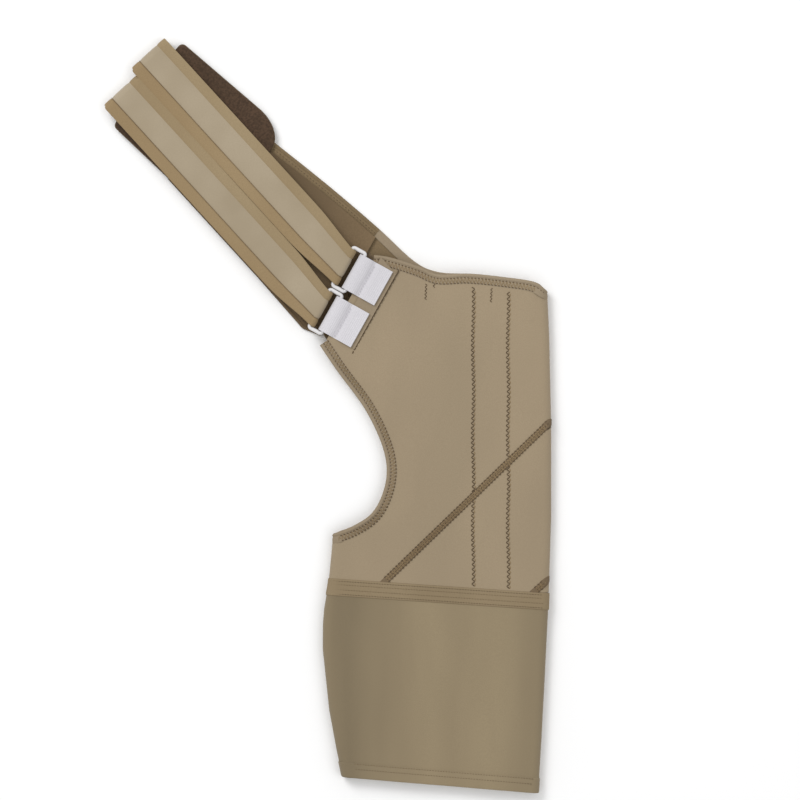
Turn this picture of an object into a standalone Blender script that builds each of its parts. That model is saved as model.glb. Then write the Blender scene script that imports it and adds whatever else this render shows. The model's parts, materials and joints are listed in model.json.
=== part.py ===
"""Shoulder compression support, lying flat with its straps doubled over.

+X runs from the armhole to the outer shoulder fold, +Y from the cuff to the straps, and +Z up
from the table. The cap and the sleeve are one flattened shell of laminated neoprene, folded at
the right. A back wing runs on from the shell's lower layer and carries two chest straps. Each
strap turns back at its fold, comes forward over the wing and goes round the outer bar of a ring
that a webbing tab holds at the front panel's edge.
"""

import math

import bmesh
import bpy
import numpy as np

# Cloth and webbing thicknesses, and the gap kept between touching pieces.
NEOPRENE = 0.0030
INSIDE = 0.0060
STRAP = 0.0022
WEBBING = 0.0012
PATCH = 0.0006
STAY = 0.0010
STAY_TAPE = 0.0006
HOOK_BACKING = 0.0018
HOOK_FIELD = 0.0008
FIT = 0.0003

# Shell: the seams across it fall by SLOPE towards the fold.
SLOPE = -0.058
CUFF_SLOPE = -0.083
JOIN_Y = -0.1303
JOIN_BAND = 0.0115
SLEEVE_LENGTH = 0.1290
CUFF_BAND = 0.0120
BINDING = 0.0070
FOLD_X = 0.1748
NECK_RIGHT_Y = 0.0930
SEAM_BAND = 0.0060
SEAM_TURN_SETBACK = NEOPRENE + 0.0050
BACK_SEAM_ALONG = 0.0173

# Stay behind the two long stitch rows.
STAY_X = 0.1272
STAY_WIDTH = 0.0180
STAY_TAPE_WIDTH = 0.0300
STAY_LENGTH = 0.2150
STAY_TOP_Y = 0.0900

# Rings: the line of their inner bars is the line that the straps fold over.
BAR_DIRECTION = math.radians(60.8)
UPPER_BAR = (0.0216, 0.1100)
RING_SLACK = 0.0005
RING_REACH = 0.0110
ROD_RADIUS = 0.0015
TAB_WIDTH = 0.0300
TAB_TOP_LEG = 0.0254
TAB_BOTTOM_LEG = 0.0200
PANEL_SETBACK = 0.0060
ARMHOLE_SETBACK = 0.0035
PATCH_MARGIN = 0.0055

# Straps.
STRAP_DIRECTION = math.radians(132.4)
STRAP_WIDTH = 0.0345
STRAP_GAP = 0.0010
STRAP_AT_RING = 0.0300
STRAP_BINDING = 0.0080
UPPER_RUN = 0.2260
LOWER_RUN = 0.2310
WING_RUN = 0.1550
WING_PEEK = 0.0038
SETTLE_RUN = 0.0600
ANCHOR_LENGTH = 0.0200

# Hook ends: a wider tab on the free end of each strap, fanned out and set a little to one side.
HOOK_WIDTH = 0.0390
HOOK_LENGTH = 0.0950
HOOK_TAIL = 0.0130
HOOK_SWING_ROOM = 0.0075
HOOK_TIP_DEPTH = 0.0280
HOOK_CORNER = 0.0040
HOOK_FIELD_MARGIN = 0.0015
UPPER_HOOK_FAN = math.radians(7.0)
LOWER_HOOK_FAN = math.radians(4.0)
UPPER_HOOK_SHIFT = 0.0075
LOWER_HOOK_SHIFT = -0.0029

# Ring sizes that follow: each ring clears its webbing, and stands clear of the other one.
RING_BEND = ROD_RADIUS + FIT
RING_WIDTH = max(TAB_WIDTH, STRAP_AT_RING) + 2 * (2 * ROD_RADIUS + RING_SLACK)
STRAP_SPACING = (STRAP_WIDTH + STRAP_GAP) / math.sin(STRAP_DIRECTION - BAR_DIRECTION)
RING_PITCH = max(STRAP_SPACING, RING_WIDTH + FIT)

# Heights that follow from the layers, counted up from the table.
SHELL = 2 * NEOPRENE + INSIDE
MID_Z = SHELL / 2
FRONT_LOW = NEOPRENE + INSIDE
PATCH_LOW = SHELL + FIT
TAB_TOP_LOW = PATCH_LOW + PATCH + FIT
TAB_BOTTOM_HIGH = FRONT_LOW - FIT
RING_Z = (TAB_TOP_LOW + TAB_BOTTOM_HIGH) / 2
ANCHOR_LOW = NEOPRENE + FIT
HOOK_LOW = ANCHOR_LOW + PATCH + FIT
FIELD_LOW = HOOK_LOW + HOOK_BACKING + FIT
RETURN_LOW = FIELD_LOW + HOOK_FIELD + FIT
UPPER_LOW = RETURN_LOW + STRAP + FIT

# How far the cutting shapes run past the shell.
BEYOND = 0.0200
LEFT_SIDE = -0.0900
RIGHT_SIDE = FOLD_X + BEYOND
FAR_LOW_Y = -0.8000
FAR_HIGH_Y = 0.5000
SHELL_TOP_Y = 0.1600

BEIGE = (0.33, 0.26, 0.17)
DARK_BROWN = (0.09, 0.055, 0.03)
THREAD_BROWN = (0.20, 0.14, 0.08)
TAN = (0.36, 0.26, 0.15)
WHITE = (0.80, 0.80, 0.82)


# ---------------------------------------------------------------- plan geometry


def direction(angle):
    """The unit vector in plan at this angle from +X."""
    return np.array([math.cos(angle), math.sin(angle)])


ALONG_BARS = direction(BAR_DIRECTION)
OUT_OF_RINGS = direction(BAR_DIRECTION + math.pi / 2)
ALONG_STRAPS = direction(STRAP_DIRECTION)
ACROSS_STRAPS = direction(STRAP_DIRECTION - math.pi / 2)
LOWER_BAR = tuple(np.array(UPPER_BAR) - RING_PITCH * ALONG_BARS)


def from_bar(bar, along, out):
    """A plan point measured from a ring's inner bar: along the bars, and out towards the strap."""
    return np.array(bar) + along * ALONG_BARS + out * OUT_OF_RINGS


def smooth(points, steps=5):
    """A Catmull-Rom curve through plan points, with this many steps from one to the next."""
    points = np.array(points, float)
    padded = np.vstack([2 * points[0] - points[1], points, 2 * points[-1] - points[-2]])
    t = np.linspace(0, 1, steps, endpoint=False)[:, None]
    parts = []
    for a, b, c, d in zip(padded, padded[1:], padded[2:], padded[3:]):
        parts.append(
            0.5 * (2 * b + (c - a) * t + (2 * a - 5 * b + 4 * c - d) * t**2 + (3 * b - a - 3 * c + d) * t**3)
        )
    return np.vstack([*parts, points[-1:]])


def offset(points, distance):
    """A plan line moved this far to its right-hand side, with its corners kept sharp."""
    points = np.array(points, float)
    run = np.diff(points, axis=0)
    run /= np.linalg.norm(run, axis=1)[:, None]
    normal = np.stack([run[:, 1], -run[:, 0]], axis=1)
    before = np.vstack([normal[:1], normal])
    after = np.vstack([normal, normal[-1:]])
    mitre = (before + after) / (1 + (before * after).sum(axis=1))[:, None]
    return points + distance * mitre


def across(start_y, x, slope=SLOPE):
    """The height in plan of a seam that crosses the shell, at this x."""
    return start_y + slope * x


def cross_band(high, low):
    """The outline of a band that crosses the whole shell between two seams, each (y, slope)."""
    return [
        (LEFT_SIDE, across(low[0], LEFT_SIDE, low[1])),
        (RIGHT_SIDE, across(low[0], RIGHT_SIDE, low[1])),
        (RIGHT_SIDE, across(high[0], RIGHT_SIDE, high[1])),
        (LEFT_SIDE, across(high[0], LEFT_SIDE, high[1])),
    ]


# The armhole, from the tabs down to the underarm, and on past the shell's left fold.
ARMHOLE = smooth(
    [
        (-0.0230, 0.0795),
        (-0.0130, 0.0642),
        (0.0070, 0.0343),
        (0.0296, 0.0031),
        (0.0437, -0.0281),
        (0.0456, -0.0520),
        (0.0367, -0.0749),
        (0.0207, -0.0872),
        (0.0000, -0.0945),
        (-0.0160, -0.0985),
    ]
)
# The neck edge, from beyond the fold, where it turns down at the shoulder's corner.
NECK_CORNER = [
    (RIGHT_SIDE, NECK_RIGHT_Y - 0.0100),
    (FOLD_X - 0.0020, NECK_RIGHT_Y + 0.0030),
    (FOLD_X - 0.0130, NECK_RIGHT_Y + 0.0100),
    (FOLD_X - 0.0348, 0.1066),
    (FOLD_X - 0.0648, 0.1096),
]
# On the front it ends at the front panel's corner, by the tabs.
FRONT_NECK = smooth([*NECK_CORNER, (0.0867, 0.1090), (0.0718, 0.1150), (0.0480, 0.1225), (0.0280, 0.1250)])
# On the back it leaves the front's and follows the wing to its end.
BACK_NECK = smooth(
    [
        *NECK_CORNER,
        (0.0862, 0.1112),
        (0.0675, 0.1197),
        (0.0394, 0.1455),
        (0.0020, 0.1775),
        (-0.0435, 0.2139),
        (-0.0760, 0.2385),
    ]
)
# The diagonal seams, front and back, level where they pass round the fold.
SEAM_TURN_X = FOLD_X - SEAM_TURN_SETBACK
UPPER_SEAM_Y = -0.0040
LOWER_SEAM_Y = -0.1230
SEAM_FOOT_X = 0.0370
LOWER_SEAM_RISE = 1.60
BACK_SEAM_END = from_bar(UPPER_BAR, BACK_SEAM_ALONG, 0)
FRONT_SEAM_RISE = (UPPER_SEAM_Y - across(JOIN_Y, SEAM_FOOT_X)) / (SEAM_TURN_X - SEAM_FOOT_X)
BACK_SEAM_RISE = (BACK_SEAM_END[1] - UPPER_SEAM_Y) / (SEAM_TURN_X - BACK_SEAM_END[0])


def diagonal(level, rise):
    """A seam that is level past the fold and from there goes left, down or up by its rise."""
    run = SEAM_TURN_X - LEFT_SIDE
    return [(LEFT_SIDE, level - rise * run), (SEAM_TURN_X, level), (RIGHT_SIDE, level)]


FRONT_UPPER_SEAM = diagonal(UPPER_SEAM_Y, FRONT_SEAM_RISE)
BACK_UPPER_SEAM = diagonal(UPPER_SEAM_Y, -BACK_SEAM_RISE)
FRONT_LOWER_SEAM = diagonal(LOWER_SEAM_Y, LOWER_SEAM_RISE)
BACK_LOWER_SEAM = diagonal(LOWER_SEAM_Y, -BACK_SEAM_RISE)


def above(line, distance):
    """The outline of everything above a seam that runs left to right."""
    moved = offset(line, -distance)
    return [*moved, (RIGHT_SIDE, FAR_HIGH_Y), (LEFT_SIDE, FAR_HIGH_Y)]


def below(line, distance):
    """The outline of everything below a seam that runs left to right."""
    moved = offset(line, distance)
    return [*moved, (RIGHT_SIDE, FAR_LOW_Y), (LEFT_SIDE, FAR_LOW_Y)]


def strip(line, near, far):
    """The outline of a band along a line, between two distances to its right."""
    return [*offset(line, near), *offset(line, far)[::-1]]


def part_of(line, limit, beyond=False):
    """The part of a plan line on one side of a line beside the rings' bars, ended exactly on it."""
    line = np.array(line, float)
    out = (line - np.array(UPPER_BAR)) @ OUT_OF_RINGS - limit
    if beyond:
        out = -out
    i = int(np.flatnonzero(np.diff(np.sign(out)))[0])
    crossing = line[i] + out[i] / (out[i] - out[i + 1]) * (line[i + 1] - line[i])
    if out[0] < 0:
        return np.vstack([line[: i + 1], crossing])
    return np.vstack([crossing, line[i + 1 :]])


def strip_beside_bars(line, near, far, limit, beyond=False):
    """A band along a line, kept on one side of a line beside the rings' bars."""
    first = part_of(offset(line, near), limit, beyond)
    second = part_of(offset(line, far), limit, beyond)
    return [*first, *second[::-1]]


# ---------------------------------------------------------------- scene and mesh helpers


def clear_scene():
    for thing in list(bpy.data.objects):
        bpy.data.objects.remove(thing)


def new_collection(name):
    made = bpy.data.collections.new(name)
    bpy.context.scene.collection.children.link(made)
    return made


def finish(name, colour, roughness=0.85, metallic=0.0):
    """A Principled material of the piece's own colour."""
    made = bpy.data.materials.new(name)
    made.use_nodes = True
    shader = made.node_tree.nodes["Principled BSDF"]
    shader.inputs["Base Color"].default_value = (*colour, 1.0)
    shader.inputs["Roughness"].default_value = roughness
    shader.inputs["Metallic"].default_value = metallic
    return made


def put(name, mesh, group, colour=None, roughness=0.85):
    """An object for this mesh, in this collection, dressed if it has a colour."""
    made = bpy.data.objects.new(name, mesh)
    group.objects.link(made)
    if colour:
        mesh.materials.clear()
        mesh.materials.append(finish(name, colour, roughness))
    return made


def loft(name, rings):
    """A closed mesh through rings of points, each as long as the next, with both ends filled."""
    rings = np.array(rings, float)
    count, around = rings.shape[:2]
    work = bmesh.new()
    corners = [[work.verts.new(point) for point in ring] for ring in rings]
    for i in range(count - 1):
        for j in range(around):
            k = (j + 1) % around
            work.faces.new((corners[i][j], corners[i][k], corners[i + 1][k], corners[i + 1][j]))
    work.faces.new(corners[0][::-1])
    work.faces.new(corners[-1])
    bmesh.ops.recalc_face_normals(work, faces=work.faces)
    mesh = bpy.data.meshes.new(name)
    work.to_mesh(mesh)
    work.free()
    return mesh


def outline_mesh(name, outline, low, high, group):
    """A plate of this plan outline between two heights, from a filled curve made a closed mesh."""
    curve = bpy.data.curves.new(name, "CURVE")
    curve.dimensions = "2D"
    curve.fill_mode = "BOTH"
    curve.extrude = (high - low) / 2
    spline = curve.splines.new("POLY")
    spline.points.add(len(outline) - 1)
    for point, (x, y) in zip(spline.points, outline):
        point.co = (x, y, 0, 1)
    spline.use_cyclic_u = True
    return curve_mesh(name, curve, (0, 0, (low + high) / 2), group)


def curve_mesh(name, curve, place, group):
    """The closed mesh of a curve, standing at this place, with its loose caps welded."""
    guide = bpy.data.objects.new(name + "_curve", curve)
    guide.location = place
    group.objects.link(guide)
    bpy.context.view_layer.update()
    graph = bpy.context.evaluated_depsgraph_get()
    mesh = bpy.data.meshes.new_from_object(guide.evaluated_get(graph))
    mesh.transform(guide.matrix_world)
    bpy.data.objects.remove(guide)
    work = bmesh.new()
    work.from_mesh(mesh)
    bmesh.ops.remove_doubles(work, verts=work.verts, dist=1e-6)
    bmesh.ops.recalc_face_normals(work, faces=work.faces)
    work.to_mesh(mesh)
    work.free()
    mesh.name = name
    return mesh


def plate(name, outline, low, high, group, colour, roughness=0.85):
    return put(name, outline_mesh(name, outline, low, high, group), group, colour, roughness)


def cut(target, tool, operation, solver="EXACT"):
    step = target.modifiers.new(operation.title(), "BOOLEAN")
    step.operation = operation
    step.solver = solver
    step.object = tool


def cutter(name, mesh, group):
    made = put(name, mesh, group)
    made.hide_render = True
    made.display_type = "WIRE"
    return made


def split_cutter(name, front, back, group):
    """A cutter with one plan outline above the middle of the shell and another below it."""
    made = cutter(name, outline_mesh(name, front, MID_Z, SHELL + BEYOND, group), group)
    name += "_back"
    lower = cutter(name, outline_mesh(name, back, -BEYOND, MID_Z + FIT / 10, group), group)
    cut(made, lower, "UNION", "MANIFOLD")
    return made


# ---------------------------------------------------------------- the shell


def shell_sides(y):
    """The shell's left and right outlines at this y."""
    right_y = [-0.300, -0.255, -0.205, -0.155, -0.137, -0.080, -0.010, 0.060, 0.120]
    right_in = [0.0104, 0.0076, 0.0050, 0.0025, 0.0018, 0.0000, 0.0000, 0.0015, 0.0042]
    left_y = [-0.300, -0.262, -0.231, -0.184, -0.153, -0.137, -0.0950, -0.0920]
    left_x = [0.0140, 0.0062, 0.0010, -0.0039, -0.0049, -0.0023, 0.0004, LEFT_SIDE]
    return np.interp(y, left_y, left_x), FOLD_X - np.interp(y, right_y, right_in)


def lozenge(name, inset, low_y, high_y):
    """A solid with the shell's outline, its long edges fully rounded, moved in by the inset."""
    radius = MID_Z - inset
    turn = np.linspace(-math.pi / 2, math.pi / 2, 9)
    stops = (-0.262, -0.231, -0.184, -0.153, -0.137, -0.0950, -0.0920, -0.010, 0.060)
    rings = []
    for y in [low_y, *stops, high_y]:
        left, right = shell_sides(y)
        arc_x = np.cos(turn) * radius
        arc_z = MID_Z + np.sin(turn) * radius
        x = np.concatenate([right - MID_Z + arc_x, left + MID_Z - arc_x[::-1]])
        z = np.concatenate([arc_z, arc_z[::-1]])
        rings.append(np.stack([x, np.full_like(x, y), z], axis=1))
    return loft(name, rings)


def shell_blank(group):
    """The whole shell before it is cut into panels: one wall, open at the cuff and the neck."""
    low_y = across(JOIN_Y - JOIN_BAND - SLEEVE_LENGTH - CUFF_BAND, FOLD_X, CUFF_SLOPE) - BEYOND
    outer = cutter("shell_outside", lozenge("shell_outside", 0.0, low_y, SHELL_TOP_Y), group)
    inner = lozenge("shell_inside", NEOPRENE, low_y - BEYOND, SHELL_TOP_Y + BEYOND)
    cut(outer, cutter("shell_inside", inner, group), "DIFFERENCE")
    return outer


def from_shell(name, blank, cutters, parts, colour, slits=()):
    """A panel: the shell kept only inside each of the cutters, and cleared of the slits.

    The faster solver is used on the closed blank, as the exact one leaves open edges at the
    neck's shallow corner.
    """
    made = put(name, blank.data.copy(), parts, colour)
    cut(made, bpy.data.objects["shell_inside"], "DIFFERENCE")
    for tool in cutters:
        cut(made, tool, "INTERSECT", "MANIFOLD")
    for tool in slits:
        cut(made, tool, "DIFFERENCE", "MANIFOLD")
    return made


def cap_region(group):
    """What the cap's panels fill: inside the bindings, above the join, and short of the rings' line."""
    armhole = offset(ARMHOLE, -(BINDING + FIT))
    lower_side = [(x, across(JOIN_Y + FIT, x)) for x in (armhole[-1][0], RIGHT_SIDE)]
    outlines = []
    for neck, limit in ((FRONT_NECK, -PANEL_SETBACK), (BACK_NECK, -FIT / 2)):
        inner_neck = part_of(offset(neck, -(BINDING + FIT)), limit)
        outlines.append([*lower_side, *inner_neck, *part_of(armhole, limit)])
    return split_cutter("cap_region", *outlines, group)


def make_cap(blank, parts, tools):
    region = cap_region(tools)
    half = SEAM_BAND / 2 + FIT
    upper_side = split_cutter(
        "above_upper_seam",
        above(FRONT_UPPER_SEAM, half),
        above(BACK_UPPER_SEAM, half),
        tools,
    )
    middle_low = split_cutter(
        "below_upper_seam",
        below(FRONT_UPPER_SEAM, half),
        below(BACK_UPPER_SEAM, half),
        tools,
    )
    middle_high = split_cutter(
        "above_lower_seam",
        above(FRONT_LOWER_SEAM, half),
        above(BACK_LOWER_SEAM, half),
        tools,
    )
    lower_side = split_cutter(
        "below_lower_seam",
        below(FRONT_LOWER_SEAM, half),
        below(BACK_LOWER_SEAM, half),
        tools,
    )
    underarm = [(-BEYOND, -0.16), (BEYOND, -0.16), (BEYOND, -0.08), (-BEYOND, -0.08)]
    gap = outline_mesh("underarm_slit", underarm, MID_Z - FIT, MID_Z + FIT, tools)
    slit = cutter("underarm_slit", gap, tools)
    from_shell("upper_panel", blank, [region, upper_side], parts, BEIGE, [slit])
    from_shell("diagonal_panel", blank, [region, middle_low, middle_high], parts, BEIGE, [slit])
    from_shell("lower_gusset", blank, [region, lower_side], parts, BEIGE, [slit])
    for name, front, back in (
        ("upper_diagonal_seam", FRONT_UPPER_SEAM, BACK_UPPER_SEAM),
        ("lower_diagonal_seam", FRONT_LOWER_SEAM, BACK_LOWER_SEAM),
    ):
        band = split_cutter(
            name + "_band",
            strip(front, -SEAM_BAND / 2, SEAM_BAND / 2),
            strip(back, -SEAM_BAND / 2, SEAM_BAND / 2),
            tools,
        )
        from_shell(name, blank, [region, band], parts, THREAD_BROWN)


def make_bindings(blank, parts, tools):
    """The armhole's and the neck's bound edges, each one loop of tape over both layers."""
    armhole = strip_beside_bars(ARMHOLE, 0, -BINDING, -ARMHOLE_SETBACK)
    whole = outline_mesh("armhole_edge", armhole, -BEYOND, SHELL + BEYOND, tools)
    from_shell("armhole_binding", blank, [cutter("armhole_edge", whole, tools)], parts, BEIGE)
    neck = split_cutter(
        "neck_edge",
        strip_beside_bars(FRONT_NECK, 0, -BINDING, -PANEL_SETBACK),
        strip_beside_bars(BACK_NECK, 0, -BINDING, -FIT / 2),
        tools,
    )
    from_shell("neck_binding", blank, [neck], parts, BEIGE)


def make_sleeve(blank, parts, tools):
    top = JOIN_Y
    sleeve_top = top - JOIN_BAND
    cuff_top = sleeve_top - SLEEVE_LENGTH
    bands = (
        ("join_band", (top, SLOPE), (sleeve_top, SLOPE), TAN),
        ("arm_sleeve", (sleeve_top - FIT, SLOPE), (cuff_top, CUFF_SLOPE), BEIGE),
        ("cuff_band", (cuff_top - FIT, CUFF_SLOPE), (cuff_top - CUFF_BAND, CUFF_SLOPE), BEIGE),
    )
    for name, high, low, colour in bands:
        band = outline_mesh(name + "_band", cross_band(high, low), -BEYOND, SHELL + BEYOND, tools)
        from_shell(name, blank, [cutter(name + "_band", band, tools)], parts, colour)


def make_stay(parts):
    """The stay and the tape that holds it, inside the cap under the front layer."""
    stay_high = FRONT_LOW - FIT
    tape_high = stay_high - STAY - FIT
    for name, width, thickness, high, colour in (
        ("stay_strip", STAY_WIDTH, STAY, stay_high, WHITE),
        ("stay_channel_tape", STAY_TAPE_WIDTH, STAY_TAPE, tape_high, TAN),
    ):
        length = STAY_LENGTH + (width - STAY_WIDTH) / 2
        bpy.ops.mesh.primitive_cube_add(
            size=1, location=(STAY_X, STAY_TOP_Y - STAY_LENGTH / 2, high - thickness / 2)
        )
        made = bpy.context.object
        made.name = name
        made.scale = (width, length, thickness)
        bpy.ops.object.transform_apply(location=False, rotation=False, scale=True)
        made.data.materials.append(finish(name, colour))
        made.users_collection[0].objects.unlink(made)
        parts.objects.link(made)


# ---------------------------------------------------------------- tabs and rings


def make_tab(name, bar, parts):
    """A webbing loop round the ring's inner bar, with a leg on each side of the front panel."""
    inner = (TAB_TOP_LOW - TAB_BOTTOM_HIGH) / 2
    outer = inner + WEBBING
    turn = np.linspace(math.pi / 2, -math.pi / 2, 9)
    outside = np.stack([np.cos(turn) * outer, np.sin(turn) * outer], axis=1)
    inside = np.stack([np.cos(turn) * inner, np.sin(turn) * inner], axis=1)[::-1]
    profile = np.vstack(
        [
            [(-TAB_TOP_LEG, outer)],
            outside,
            [(-TAB_BOTTOM_LEG, -outer), (-TAB_BOTTOM_LEG, -inner)],
            inside,
            [(-TAB_TOP_LEG, inner)],
        ]
    )
    rings = []
    for along in (-TAB_WIDTH / 2, TAB_WIDTH / 2):
        plan = np.array([from_bar(bar, along, out) for out in profile[:, 0]])
        rings.append(np.column_stack([plan, RING_Z + profile[:, 1]]))
    return put(name, loft(name, rings), parts, WHITE, 0.9)


def make_ring(name, bar, parts, tools):
    """A rectangular ring bent from round rod, its inner bar on the hinge line."""
    half = RING_WIDTH / 2 - ROD_RADIUS
    bend = RING_BEND
    quarter = np.linspace(0, math.pi / 2, 4)
    corners = ((half - bend, RING_REACH - bend, 0), (bend - half, RING_REACH - bend, 1),
               (bend - half, bend, 2), (half - bend, bend, 3))
    line = []
    for along, out, turn in corners:
        for angle in quarter + turn * math.pi / 2:
            line.append(from_bar(bar, along + bend * math.cos(angle), out + bend * math.sin(angle)))
    curve = bpy.data.curves.new(name, "CURVE")
    curve.dimensions = "3D"
    curve.bevel_depth = ROD_RADIUS
    curve.bevel_resolution = 2
    spline = curve.splines.new("POLY")
    spline.points.add(len(line) - 1)
    for point, (x, y) in zip(spline.points, line):
        point.co = (x, y, 0, 1)
    spline.use_cyclic_u = True
    return put(name, curve_mesh(name, curve, (0, 0, RING_Z), tools), parts, WHITE, 0.4)


def make_patch(parts):
    """The reinforcement under both tabs, a little larger than they are."""
    top = TAB_WIDTH / 2 + PATCH_MARGIN
    out = -PANEL_SETBACK - PATCH_MARGIN
    back = -TAB_TOP_LEG - PATCH_MARGIN
    outline = [
        from_bar(UPPER_BAR, top, out),
        from_bar(LOWER_BAR, -TAB_WIDTH / 2, out),
        from_bar(LOWER_BAR, -TAB_WIDTH / 2, back),
        from_bar(UPPER_BAR, top - PATCH_MARGIN, back),
        from_bar(UPPER_BAR, top, back + PATCH_MARGIN),
    ]
    plate("tab_patch", outline, PATCH_LOW, PATCH_LOW + PATCH, parts, BEIGE)


# ---------------------------------------------------------------- wing and straps


def strap_start(bar):
    """The plan point of a ring's outer bar, where its strap turns."""
    return from_bar(bar, 0, RING_REACH)


def strap_point(bar, run, side):
    """A plan point on a strap: its run from the outer bar, and its place across it."""
    return strap_start(bar) + run * ALONG_STRAPS + side * ACROSS_STRAPS


def wing_outline(trim):
    """The wing's plan, moved in from both bound edges by trim, with an end that meets each strap."""
    neck = part_of(offset(BACK_NECK, -trim), FIT / 2, beyond=True)
    lower = offset(WING_LOWER_EDGE, trim)
    half = STRAP_WIDTH / 2
    end = [
        strap_point(UPPER_BAR, WING_RUN, half - trim),
        strap_point(UPPER_BAR, WING_RUN, -half),
        strap_point(LOWER_BAR, WING_RUN, half),
    ]
    return [*neck, *end, *lower[::-1]]


# The wing's lower edge, from the rings' line to the lower strap's outer side.
WING_LOWER_EDGE = np.array(
    [
        from_bar(LOWER_BAR, -0.0185, FIT / 2),
        from_bar(LOWER_BAR, -0.0205, 0.0150),
        strap_point(LOWER_BAR, 0.0500, -STRAP_WIDTH / 2 - WING_PEEK),
        strap_point(LOWER_BAR, WING_RUN, -STRAP_WIDTH / 2 - WING_PEEK),
    ]
)


def make_wing(parts):
    made = [plate("back_wing", wing_outline(BINDING + FIT), 0, NEOPRENE, parts, BEIGE)]
    upper = strip_beside_bars(BACK_NECK, 0, -BINDING, FIT / 2, beyond=True)
    made.append(plate("wing_upper_binding", upper, 0, NEOPRENE, parts, BEIGE))
    lower = strip(WING_LOWER_EDGE, 0, BINDING)
    made.append(plate("wing_lower_binding", lower, 0, NEOPRENE, parts, BEIGE))
    corners = [(LOWER_BAR, -1), (UPPER_BAR, 1), (UPPER_BAR, 1), (LOWER_BAR, -1)]
    runs = [-1, -1, 1, 1]
    outline = [
        strap_point(bar, WING_RUN + end * ANCHOR_LENGTH / 2, side * (STRAP_WIDTH / 2 - STRAP_BINDING))
        for (bar, side), end in zip(corners, runs)
    ]
    made.append(plate("strap_anchor_patch", outline, ANCHOR_LOW, ANCHOR_LOW + PATCH, parts, TAN))
    return made


def arc(centre_run, centre_z, radius, start, stop, steps=8):
    """Points (run, height) on a turn of a strap seen from its side, at angles in degrees."""
    angles = np.radians(np.linspace(start, stop, steps + 1))
    return [(centre_run + radius * math.cos(a), centre_z + radius * math.sin(a)) for a in angles]


def strap_folds(length):
    """Where a strap's outer fold and its inner fold are centred, and where its free end stops."""
    outer = length - (UPPER_LOW + STRAP) / 2
    inner = outer - FIT
    return outer, inner, inner - STRAP / 2


def strap_path(length):
    """The middle of a strap's thickness from its sewn end to its inner fold, as (run, height)."""
    low = STRAP / 2
    high = UPPER_LOW + STRAP / 2
    middle = RETURN_LOW + STRAP / 2
    hook = HOOK_LOW + STRAP / 2
    fold = (high - low) / 2
    turn = ROD_RADIUS + FIT + STRAP / 2
    inner = (middle - hook) / 2
    outer_centre, inner_centre, end = strap_folds(length)
    return [
        (WING_RUN + FIT, low),
        *arc(outer_centre, low + fold, fold, -90, 90),
        (SETTLE_RUN, high),
        (SETTLE_RUN * 0.5, (high + RING_Z + turn) / 2),
        *arc(0, RING_Z, turn, 90, 270),
        (SETTLE_RUN * 0.5, (middle + RING_Z - turn) / 2),
        (SETTLE_RUN, middle),
        *arc(inner_centre, (middle + hook) / 2, inner, 90, -90, 6),
        (end, hook),
    ]


def strap_ribbon(name, bar, length, near, far, parts, colour):
    """A ribbon along a strap's path between two shares of its half width, -1 to 1."""
    path = np.array(strap_path(length))
    step = np.gradient(path, axis=0)
    step /= np.linalg.norm(step, axis=1)[:, None]
    normal = np.stack([-step[:, 1], step[:, 0]], axis=1)
    rings = []
    for (run, height), (lean, rise) in zip(path, normal):
        share = min(max(run / SETTLE_RUN, 0.0), 1.0)
        sideways = (1 - share) * ALONG_BARS + share * ACROSS_STRAPS
        sideways /= np.linalg.norm(sideways)
        half = (STRAP_AT_RING + share * (STRAP_WIDTH - STRAP_AT_RING)) / 2
        forward = ALONG_STRAPS if run > 0 else OUT_OF_RINGS
        ring = []
        for side, face in ((near, -1), (far, -1), (far, 1), (near, 1)):
            lift = face * STRAP / 2
            plan = strap_start(bar) + (run + lift * lean) * forward + side * half * sideways
            ring.append((*plan, height + lift * rise))
        rings.append(ring)
    return put(name, loft(name, rings), parts, colour)


def make_strap(name, bar, length, parts):
    inner = 1 - 2 * STRAP_BINDING / STRAP_WIDTH
    slack = 2 * FIT / STRAP_WIDTH
    return [
        strap_ribbon(name + "_strap", bar, length, -inner + slack / 2, inner - slack / 2, parts, BEIGE),
        strap_ribbon(name + "_strap_left_binding", bar, length, -1, -inner - slack / 2, parts, TAN),
        strap_ribbon(name + "_strap_right_binding", bar, length, inner + slack / 2, 1, parts, TAN),
    ]


def hook_root(bar, length):
    """The plan point about which a hook end swings, clear of its strap's end."""
    end = strap_folds(length)[2]
    return strap_point(bar, end - HOOK_TAIL - HOOK_SWING_ROOM, 0)


def round_about(centre, radii, start, stop, steps):
    """Points on a turn about a centre, with a radius each way, at angles in degrees."""
    angles = np.radians(np.linspace(start, stop, steps + 1))
    return [(centre[0] + radii[0] * math.cos(a), centre[1] + radii[1] * math.sin(a)) for a in angles]


def hook_outline(pivot, fan, shift, margin):
    """A hook end in plan: a square tail with round corners, straight sides and an oval tip."""
    half = HOOK_WIDTH / 2 - margin
    tail = HOOK_CORNER + margin - HOOK_TAIL
    corner = (HOOK_CORNER, HOOK_CORNER)
    local = [
        *round_about((tail, shift - half + HOOK_CORNER), corner, 180, 270, 4),
        *round_about((HOOK_LENGTH - HOOK_TIP_DEPTH, shift), (HOOK_TIP_DEPTH - margin, half), -90, 90, 12),
        *round_about((tail, shift + half - HOOK_CORNER), corner, 90, 180, 4),
    ]
    heading = direction(STRAP_DIRECTION + math.pi + fan)
    side = np.array([-heading[1], heading[0]])
    return [pivot + a * heading + b * side for a, b in local]


def make_hook_end(name, root, fan, shift, parts):
    made = []
    for piece, margin, low, thickness, colour in (
        ("_hook_backing", 0.0, HOOK_LOW, HOOK_BACKING, BEIGE),
        ("_hook_field", HOOK_FIELD_MARGIN, FIELD_LOW, HOOK_FIELD, DARK_BROWN),
    ):
        outline = hook_outline(root, fan, shift, margin)
        made.append(plate(name + piece, outline, low, low + thickness, parts, colour))
    return made


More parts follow.
